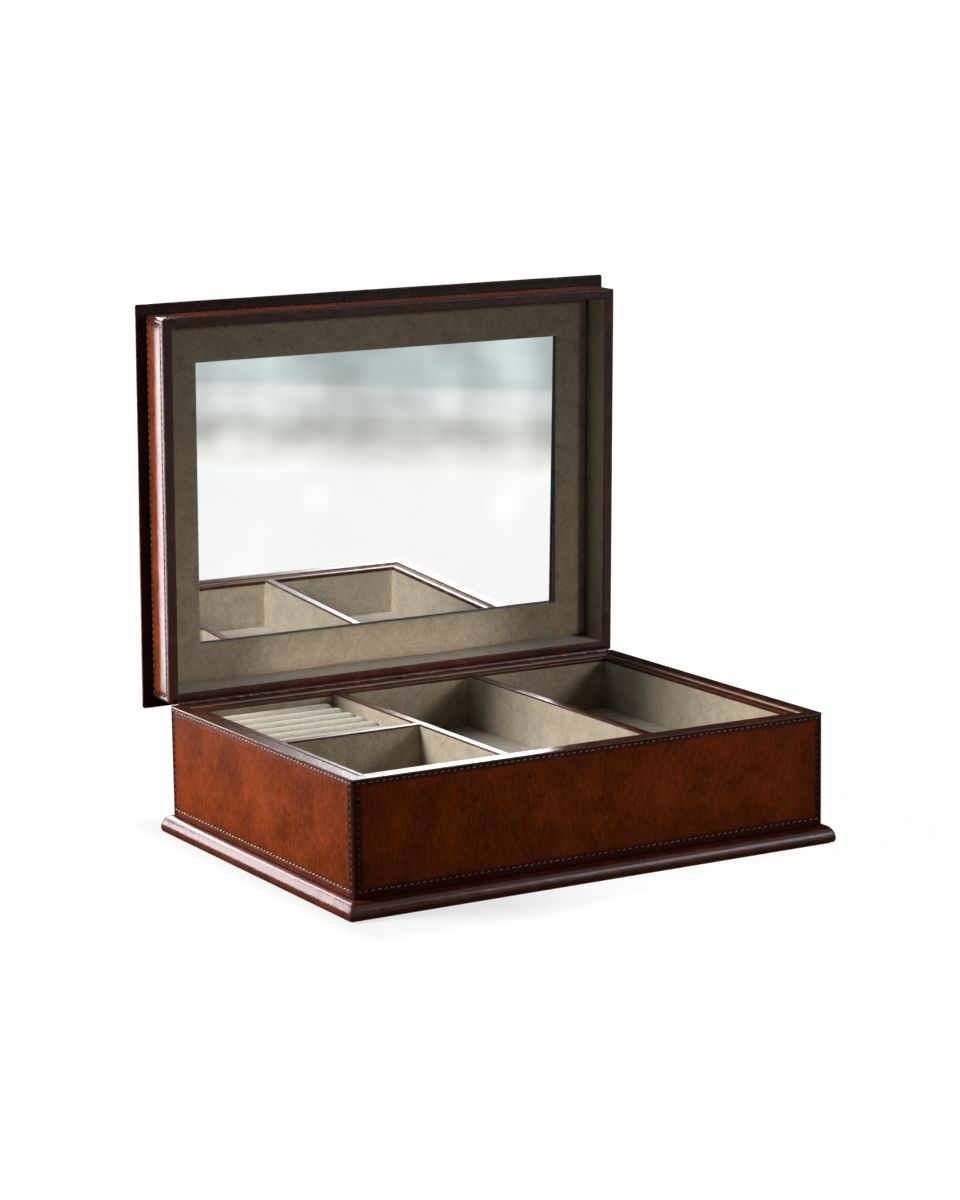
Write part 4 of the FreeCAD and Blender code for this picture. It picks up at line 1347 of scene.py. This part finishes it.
def stitch_tree():
    """Geometry nodes: a bowed thread on every step of a path, lying flat on the leather."""
    group = bpy.data.node_groups.new("stitch_rows", "GeometryNodeTree")
    face = group.interface
    face.new_socket("Path", in_out="INPUT", socket_type="NodeSocketGeometry")
    levels = {"Pitch": 0.0037, "Length": 0.0029, "Thread Radius": 0.00036, "Slant": 0.30, "Unevenness": 0.12}
    for label, default in levels.items():
        face.new_socket(label, in_out="INPUT", socket_type=FLOAT).default_value = default
    face.new_socket("Thread", in_out="INPUT", socket_type="NodeSocketMaterial")
    face.new_socket("Stitches", in_out="OUTPUT", socket_type="NodeSocketGeometry")
    tree = Tree(group)
    given, out = tree.add("NodeGroupInput").outputs, tree.add("NodeGroupOutput").inputs
    curve = tree.made("GeometryNodeMeshToCurve", {"Mesh": given["Path"]})
    steps = tree.made("GeometryNodeResampleCurve", {"Curve": curve, "Length": given["Pitch"]}, mode="LENGTH")
    outward = tree.made("GeometryNodeInputNamedAttribute", {"Name": "outward"}, data_type="FLOAT_VECTOR")
    axes = {"Primary Axis": outward, "Secondary Axis": tree.made("GeometryNodeInputTangent")}
    lay = tree.made("FunctionNodeAxesToRotation", axes, primary_axis="Z", secondary_axis="X")

    def scatter(low, high, seed):
        return tree.made(
            "FunctionNodeRandomValue", {"Min": low, "Max": high, "Seed": seed}, 1, data_type="FLOAT"
        )

    angle = tree.plus(given["Slant"], tree.times(scatter(-1.0, 1.0, 7), given["Unevenness"]))
    turn = tree.made("FunctionNodeAxisAngleToRotation", {"Axis": (0.0, 0.0, 1.0), "Angle": angle})
    lay = tree.made(
        "FunctionNodeRotateRotation", {"Rotation": lay, "Rotate By": turn}, rotation_space="LOCAL"
    )
    half = tree.times(given["Length"], 0.5)
    dip, rise = (tree.times(given["Thread Radius"], height) for height in (-1.3, 1.1))
    bow = {
        "Resolution": 4,
        "Start": tree.vector(x=tree.times(half, -1.0), z=dip),
        "Middle": tree.vector(z=rise),
        "End": tree.vector(x=half, z=dip),
    }
    profile = tree.made(
        "GeometryNodeCurvePrimitiveCircle", {"Resolution": 6, "Radius": given["Thread Radius"]}
    )
    thread = {
        "Curve": tree.made("GeometryNodeCurveQuadraticBezier", bow), "Profile Curve": profile,
        "Fill Caps": True
    }
    placed = tree.made("GeometryNodeInstanceOnPoints", {
        "Points": steps,
        "Instance": tree.made("GeometryNodeCurveToMesh", thread),
        "Rotation": lay,
        "Scale": scatter(0.9, 1.06, 19),
    })
    real = tree.made("GeometryNodeRealizeInstances", {"Geometry": placed})
    smooth = tree.made("GeometryNodeSetShadeSmooth", {"Geometry": real})
    coloured = tree.made("GeometryNodeSetMaterial", {"Geometry": smooth, "Material": given["Thread"]})
    tree.feed(out["Stitches"], coloured)
    return group


# Painted shade on the thread: amounts for the lid's rows and the body front's; the other sides get none
# except on upright rows.
LID_THREAD_SHADE, FRONT_THREAD_SHADE = 0.75, 0.62


def stitch_paths(places, height, look, depth, lid):
    """Stitch rows of side panels: points, outward directions and how much shade is painted on the thread."""
    rows = ([], [], [])
    for side, to_space in places.items():
        thread_shade = LID_THREAD_SHADE if lid else FRONT_THREAD_SHADE if side == "front" else 0.0
        add_rows(rows, to_space, SIDE_RUN[side], height, look, depth, lid, thread_shade)
    return rows


def add_rows(rows, to_space, width, height, look, depth, lid, thread_shade):
    """Adds the four rows round a face, with shade painted on their thread by an amount, and fully on the
    upright ones.
    """
    points, outward, thread_shades = rows
    inset, (foot, top) = look.stitch_inset * 1000, row_insets(look, lid)
    corners = [(inset, foot), (width - inset, foot), (width - inset, height - top), (inset, height - top)]
    for index in range(4):
        u, v = np.array([corners[index], corners[(index + 1) % 4]]).T
        low, high = to_space(u, v, 0 * u - depth), to_space(u, v, 0 * u + 1 - depth)
        if lid:
            low, high = opened(low), opened(high)
        points += low.tolist()
        outward += (high - low).tolist()
        # Painted shade: upright rows get all of it, the others the given amount.
        thread_shades += [max(thread_shade, index % 2)] * 2


def make_stitches(name, paths, look, group, body):
    """Runs the stitch tree along paths and keeps the result as one plain mesh."""
    points, outward, thread_shades = paths
    guide_mesh = bpy.data.meshes.new(name + "_path")
    edges = [(k, k + 1) for k in range(0, len(points), 2)]
    guide_mesh.from_pydata((np.array(points) * 0.001).tolist(), edges, [])
    for key, kind, field, numbers in (
        ("thread_shade", "FLOAT", "value", thread_shades),
        ("outward", "FLOAT_VECTOR", "vector", outward),
    ):
        attribute = guide_mesh.attributes.new(key, kind, "POINT")
        attribute.data.foreach_set(field, np.array(numbers, np.float32).ravel())
    guide = new_object(name + "_path", guide_mesh)
    rows = guide.modifiers.new("stitch_rows", "NODES")
    rows.node_group = group
    sockets = {item.name: item.identifier for item in group.interface.items_tree if item.in_out == "INPUT"}
    for label, value in (
        ("Pitch", look.stitch_pitch),
        ("Length", look.stitch_length),
        ("Thread Radius", look.thread_radius),
        ("Thread", MATERIALS["thread"]),
    ):
        rows[sockets[label]] = value
    mesh = evaluated_mesh(guide)
    bpy.data.objects.remove(guide)
    if not len(mesh.polygons):
        raise RuntimeError(name + " came out empty")
    mesh.name = name
    return make_piece(name, mesh, "thread", body)


class RINGBOX_OT_stitches(bpy.types.Operator):
    """Sews the stitch rows of body and lid with geometry nodes"""

    bl_idname = "ringbox.stitches"
    bl_label = "Stitches"

    def execute(self, context):
        look = context.scene.ring_box_leather
        group = stitch_tree()
        sunk = 0.72
        depth = look.groove_depth * 1000 * sunk
        body = stitch_paths(side_places(BODY_BASE), RIM_UNDER - BODY_BASE, look, depth, False)
        make_stitches("body_stitches", body, look, group, "base")
        lid = stitch_paths(side_places(LID_WOOD), LID_PANEL, look, depth, True)
        add_rows(lid, lid_top_place, 2 * LID_TOP_HALF[0], 2 * LID_TOP_HALF[1], look, depth, True, LID_THREAD_SHADE)
        make_stitches("lid_stitches", lid, look, group, "lid")
        return {"FINISHED"}


# ---------------------------------------------------------------- hidden parts and stage

WOODEN = (
    "base_board", "carcass", "tray_bearers", "tray_floor", "tray_walls",
    "divider_left", "divider_right", "divider_cross", "lid_board", "lid_side",
)


class RINGBOX_OT_hidden_parts(bpy.types.Operator):
    """Gives wood, felt and hinges their finishes"""

    bl_idname = "ringbox.hidden_parts"
    bl_label = "Wood, Felt and Hinges"

    def execute(self, context):
        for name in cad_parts:
            if name == "base_felt":
                finish_node(name, MATERIALS["felt"])
            elif "hinge_leaves" in name or "hinge_pins" in name or "hinge_screws" in name:
                finish_node(name, MATERIALS["bronze"])
            elif name.startswith(WOODEN):
                finish_node(name, MATERIALS["wood"])
        return {"FINISHED"}


ROOM_POINT, ROOM_ANGLE = (-0.92, 1.82), 29.9
WHITE, WARM = (1.0, 1.0, 1.0), (1.0, 0.95, 0.88)


def blurred_room(tree, place):
    """A painted reflection: brightness and tint of a pale blurred room, laid on the far floor for the mirror
    to find.

    The floor is laid out in straight rays from a point behind the mirror, so that soft bands
    and round spots of light keep their shape in the glass."""
    parts = tree.add("ShaderNodeSeparateXYZ", {"Vector": place}).outputs
    x, y = tree.minus(parts[0], ROOM_POINT[0]), tree.minus(parts[1], ROOM_POINT[1])
    c, s = math.cos(math.radians(ROOM_ANGLE)), math.sin(math.radians(ROOM_ANGLE))
    nearest, horizon, aside_scale, up_scale, top = 0.2, 0.400, 14.0, 13.0, 1.45
    ahead = tree.math("MAXIMUM", tree.plus(tree.times(x, s), tree.times(y, -c)), nearest)
    aside = tree.plus(tree.times(x, c), tree.times(y, s))
    across = tree.times(tree.math("DIVIDE", aside, ahead), aside_scale)
    up = tree.times(tree.minus(horizon, tree.math("DIVIDE", 1.0, ahead)), up_scale)
    plane, level = tree.vector(across, up), tree.math("DIVIDE", up, top)
    high = tree.ramp(level, (0.30, 0.12), (0.42, 0.3), (0.52, 1.0))

    def cloud(scale_x, scale_y, amount):
        inputs = {"Vector": tree.stretch(plane, (scale_x, scale_y, 1.0)), "Scale": 1.0, "Detail": 1.0}
        soft = tree.made("ShaderNodeTexNoise", inputs, noise_dimensions="2D")
        return tree.times(tree.minus(soft, 0.5), amount, high)

    fall = tree.ramp(
        level,
        (0.395, 1.04), (0.445, 0.92), (0.494, 0.80), (0.527, 0.66), (0.579, 0.575),
        (0.625, 0.61), (0.650, 0.70), (0.760, 0.715), (0.788, 0.595), (0.900, 0.57),
    )
    wave = tree.math("COSINE", tree.times(tree.plus(across, 0.815), 6.17))
    bright = tree.math("POWER", tree.times(tree.plus(wave, 1.0), 0.5), 8.0)
    columns = tree.plus(cloud(4.8, 0.5, 0.30), tree.times(bright, 0.20, high))
    patches = cloud(4.6, 4.2, 0.30)
    shift = {0: tree.stretch(plane, (3.7, 2.6, 1.0)), 1: (0.0, -0.42, 0.0)}
    spots = {
        "Vector": tree.made("ShaderNodeVectorMath", shift, operation="ADD"), "Scale": 1.0, "Randomness": 0.8
    }
    cells = tree.add("ShaderNodeTexVoronoi", spots, voronoi_dimensions="2D").outputs
    discs = tree.ramp(cells["Distance"], (0.10, 1.0), (0.36, 0.0))
    chosen = tree.made("ShaderNodeSeparateColor", {"Color": cells["Color"]})
    discs = tree.times(discs, tree.times(tree.minus(chosen, 0.35, clamp=True), 0.34))
    discs = tree.times(
        discs, tree.ramp(level, (0.10, 0.1), (0.33, 0.4), (0.44, 1.2), (0.70, 0.7), (0.78, 0.1))
    )
    total = tree.plus(tree.plus(fall, columns), tree.plus(patches, discs))
    tint = tree.ramp(
        level,
        (0.395, (1.0, 1.0, 1.0)), (0.445, (1.0, 0.99, 0.93)), (0.50, (0.995, 0.995, 0.945)),
        (0.57, (1.0, 0.99, 0.925)), (0.65, (0.97, 1.0, 0.985)), (0.76, (0.96, 1.0, 0.99)),
        (0.79, (0.89, 1.0, 0.99)), (0.90, (0.87, 0.985, 0.985)),
    )
    return total, tint


def mirrored(tree, path):
    """1 on rays that come off a polish or through glass."""
    return tree.math("MAXIMUM", path["Is Glossy Ray"], path["Is Transmission Ray"])


def floor_material(settings):
    """Pale floor: white to the camera with a painted shadow beside the box's left and front, plain to light,
    so that it keeps the shadow; to gloss it shows a painted reflection of a blurred room, dark near the box.
    """
    material = bpy.data.materials.new("pale_floor")
    tree = emptied_tree(material)
    place = object_place(tree)
    plain = tree.made("ShaderNodeBsdfDiffuse", {"Color": (settings.floor_shade,) * 3})
    path = tree.add("ShaderNodeLightPath").outputs
    parts = tree.add("ShaderNodeSeparateXYZ", {"Vector": place}).outputs
    beside, before = (
        tree.math("MAXIMUM", tree.minus(tree.math("ABSOLUTE", part), half), 0.0)
        for part, half in ((parts[0], 0.148), (parts[1], 0.112))
    )
    beside = tree.times(beside, 3.5)
    away = tree.math("SQRT", tree.plus(tree.times(beside, beside), tree.times(before, before)))
    # Painted shadow: the floor's white is lowered near the box's left and front.
    shade = tree.ramp(away, (0.0, 0.22), (0.03, 0.16), (0.055, 0.04), (0.08, 0.0))
    shade = tree.times(shade, tree.ramp(tree.plus(parts[0], 0.2), (0.13, 1.0), (0.19, 0.15), (0.23, 0.0)))
    distance = tree.span_between("LENGTH", place)
    clear = tree.minus(tree.ramp(distance, (0.25, 0.965), (0.60, 1.0)), shade)
    seen = tree.made("ShaderNodeAddShader", {0: tree.glow(WHITE, clear), 1: plain})
    room, tint = blurred_room(tree, place)
    # Painted reflection: gloss sees the room pattern, dark within about half a metre of the box.
    from_pool = tree.span_between("DISTANCE", place, (-0.12, 0.12, 0.0))
    gloss = tree.glow(tint, tree.times(room, tree.ramp(from_pool, (0.46, 0.03), (0.53, 1.0))))
    direct = tree.between(path["Is Camera Ray"], plain, seen)
    tree.add("ShaderNodeOutputMaterial", {0: tree.between(mirrored(tree, path), direct, gloss)})
    return material


def dark_material():
    """Black cloth of the flag that keeps the white surroundings off the rims."""
    material, tree, shader = material_tree("black_flag", Roughness=1.0)
    tree.feed(
        shader.inputs["Base Color"],
        tree.ramp(tree.noise(object_place(tree), 80.0), (0.3, 0.004), (0.7, 0.008))
    )
    return material


def bright_material():
    """White sheet that gives the rims their highlights, fading at its left."""
    material = bpy.data.materials.new("white_sheet")
    tree = emptied_tree(material)
    x = tree.made("ShaderNodeSeparateXYZ", {"Vector": object_place(tree)})
    strength = tree.times(tree.ramp(x, (0.83, 0.13), (0.93, 1.0)), 8.0)
    tree.add("ShaderNodeOutputMaterial", {0: tree.glow((1.0, 0.97, 1.0), strength)})
    return material


def surroundings(ambient):
    """World: white to the camera and to gloss, a faint warm grey to light."""
    world = bpy.data.worlds.new("surroundings")
    tree = emptied_tree(world)
    path = tree.add("ShaderNodeLightPath").outputs
    seen = tree.math("MAXIMUM", path["Is Camera Ray"], mirrored(tree, path))
    grey = tree.glow((1.0, 0.93, 0.85), ambient, "ShaderNodeBackground")
    white = tree.glow(WHITE, 1.0, "ShaderNodeBackground")
    tree.add("ShaderNodeOutputWorld", {0: tree.between(seen, grey, white)})
    return world


def flat_sheet(name, corners, material):
    """One face through four corners in metres."""
    mesh = bpy.data.meshes.new(name)
    mesh.from_pydata(corners, [], [(0, 1, 2, 3)])
    mesh.materials.append(material)
    return new_object(name, mesh)


def gloss_card(name, middle, angle, width, height, material, bottom=0.0, flat=False):
    """Card that only gloss sees: upright and turned about Z, or lying flat at its bottom's height."""
    c, s = math.cos(math.radians(angle)), math.sin(math.radians(angle))
    corners = [(-width / 2, 0.0), (width / 2, 0.0), (width / 2, height), (-width / 2, height)]
    places = [
        (middle[0] + a * c - b * s * flat, middle[1] + a * s + b * c * flat, bottom + b * (not flat))
        for a, b in corners
    ]
    card = flat_sheet(name, places, material)
    card.visible_camera = card.visible_diffuse = card.visible_shadow = False
    card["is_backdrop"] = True
    return card


def area_lamp(name, direction, distance, width, height, power, colour, aim=(0.0, 0.0, 0.1)):
    """Rectangular soft lamp that looks at the box from a direction."""
    lamp = bpy.data.lights.new(name, "AREA")
    lamp.shape, lamp.size, lamp.size_y = "RECTANGLE", width, height
    lamp.energy, lamp.color = power, colour
    body = new_object(name, lamp)
    toward = Vector(direction).normalized()
    body.location = Vector(aim) + toward * distance
    body.rotation_mode = "QUATERNION"
    body.rotation_quaternion = toward.to_track_quat("Z", "Y")
    body.visible_camera = False
    return body


def aim_camera():
    """Camera at the calibrated viewing angle."""
    azimuth, elevation, roll = (math.radians(a) for a in (-29.8498, 10.2732, -0.8246))
    unit, shift_x, shift_y, distance = 0.214, -0.0324, 0.2780, 8.7555
    level = math.cos(elevation)
    back = Vector((math.sin(azimuth) * level, -math.cos(azimuth) * level, math.sin(elevation)))
    right = Vector((0, 0, 1)).cross(back).normalized()
    up = back.cross(right).normalized()
    c, s = math.cos(roll), math.sin(roll)
    right, up = c * right + s * up, -s * right + c * up
    lens = bpy.data.cameras.new("camera")
    focal, frame_height, sensor = 3439.70, 1200, 36.0
    lens.sensor_fit, lens.sensor_height = "VERTICAL", sensor
    lens.lens = focal / frame_height * sensor
    lens.clip_start, lens.clip_end = 0.05, 60.0
    camera = new_object("camera", lens)
    place = (back * distance + right * shift_x + up * shift_y) * unit + Vector((0, 0, RIM_TOP * 0.001))
    camera.matrix_world = Matrix.Translation(place) @ Matrix((right, up, back)).transposed().to_4x4()
    bpy.context.scene.camera = camera


class RINGBOX_OT_stage(bpy.types.Operator):
    """Sets the floor, lamps, surroundings and camera"""

    bl_idname = "ringbox.stage"
    bl_label = "Stage"

    def execute(self, context):
        scene, settings = context.scene, context.scene.ring_box_stage
        scene.view_settings.view_transform = "Standard"
        reach = 12.0
        corners = [(-reach, -reach, 0), (reach, -reach, 0), (reach, reach, 0), (-reach, reach, 0)]
        floor = flat_sheet("floor", corners, floor_material(settings))
        floor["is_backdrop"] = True

        scene.world = surroundings(settings.ambient)

        key = settings.key_power
        area_lamp("key_lamp", (-0.78, 0.31, 0.52), 1.8, 0.5, 1.0, key, (1.0, 0.99, 0.97))
        beam, aim = settings.window_power, (0.02, 0.0, 0.085)
        window = area_lamp("window_lamp", (0.385, -0.893, 0.232), 1.7, 0.36, 0.32, beam, WARM, aim)
        thrown, aim = settings.bounce_power, (0.0, 0.107, 0.088)
        bounce = area_lamp("bounce_lamp", (0.0, -1.0, 0.03), 0.22, 0.15, 0.010, thrown, WARM, aim)
        for lamp, spread in ((window, 18), (bounce, 14)):
            lamp.data.spread = math.radians(spread)
            lamp.visible_glossy = False
        behind = (0.0, 1.0, 0.0), 0.40
        low, aim = settings.back_power, (-0.38, 0.0, 0.13)
        back = area_lamp("back_lamp", *behind, 0.22, 0.25, low, (1.0, 0.96, 1.0), aim)
        high, aim = settings.slope_power, (-0.13, 0.0, 0.30)
        slope = area_lamp("slope_lamp", *behind, 0.26, 0.32, high, (1.0, 0.97, 1.0), aim)
        back.visible_diffuse = slope.visible_diffuse = False
        black = dark_material()
        gloss_card("flag_behind", (0.75, 1.1), -35.0, 1.6, 1.4, black)
        gloss_card("flag_before", (0.30, -1.13), ROOM_ANGLE, 0.40, 0.25, black, 0.11)
        gloss_card("flag_above", (0.52, -0.56), 0.0, 1.25, 0.95, black, 0.9, True)
        gloss_card("bright_sheet", (1.07, -1.52), ROOM_ANGLE, 0.57, 0.50, bright_material(), 0.36)
        aim_camera()
        return {"FINISHED"}


# ---------------------------------------------------------------- add-on

PIECE_OPERATORS = (
    RINGBOX_OT_side_leather,
    RINGBOX_OT_plinth,
    RINGBOX_OT_rims,
    RINGBOX_OT_hinge_cover,
    RINGBOX_OT_tray_caps,
    RINGBOX_OT_linings,
    RINGBOX_OT_pads,
    RINGBOX_OT_ring_rolls,
    RINGBOX_OT_mirror,
    RINGBOX_OT_lid_mouldings,
    RINGBOX_OT_lid_leather,
    RINGBOX_OT_stitches,
    RINGBOX_OT_hidden_parts,
    RINGBOX_OT_stage,
)


class RINGBOX_PT_panel(bpy.types.Panel):
    """Lists the pieces of the ring box"""

    bl_idname = "RINGBOX_PT_panel"
    bl_label = "Ring Box"
    bl_space_type = "VIEW_3D"
    bl_region_type = "UI"
    bl_category = "Ring Box"

    def draw(self, context):
        layout, scene = self.layout, context.scene
        for settings in (scene.ring_box_leather, scene.ring_box_suede, scene.ring_box_stage):
            column = layout.column(align=True)
            for key in settings.bl_rna.properties.keys():
                if key not in ("rna_type", "name"):
                    column.prop(settings, key)
        column = layout.column(align=True)
        for operator in PIECE_OPERATORS:
            column.operator(operator.bl_idname)


GROUPS = {"ring_box_leather": RingBoxLeather, "ring_box_suede": RingBoxSuede, "ring_box_stage": RingBoxStage}


def register():
    for name, group in GROUPS.items():
        bpy.utils.register_class(group)
        setattr(bpy.types.Scene, name, bpy.props.PointerProperty(type=group))
    for operator in PIECE_OPERATORS:
        bpy.utils.register_class(operator)
    bpy.utils.register_class(RINGBOX_PT_panel)


def unregister():
    bpy.utils.unregister_class(RINGBOX_PT_panel)
    for operator in reversed(PIECE_OPERATORS):
        bpy.utils.unregister_class(operator)
    for name, group in reversed(GROUPS.items()):
        delattr(bpy.types.Scene, name)
        bpy.utils.unregister_class(group)


def main():
    cad_box = [list(corner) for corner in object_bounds()]
    register()
    build_materials(bpy.context.scene)
    for operator in PIECE_OPERATORS:
        family, action = operator.bl_idname.split(".")
        getattr(getattr(bpy.ops, family), action)()
    visual_box = [list(corner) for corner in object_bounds()]


if __name__ == "__main__":
    main()
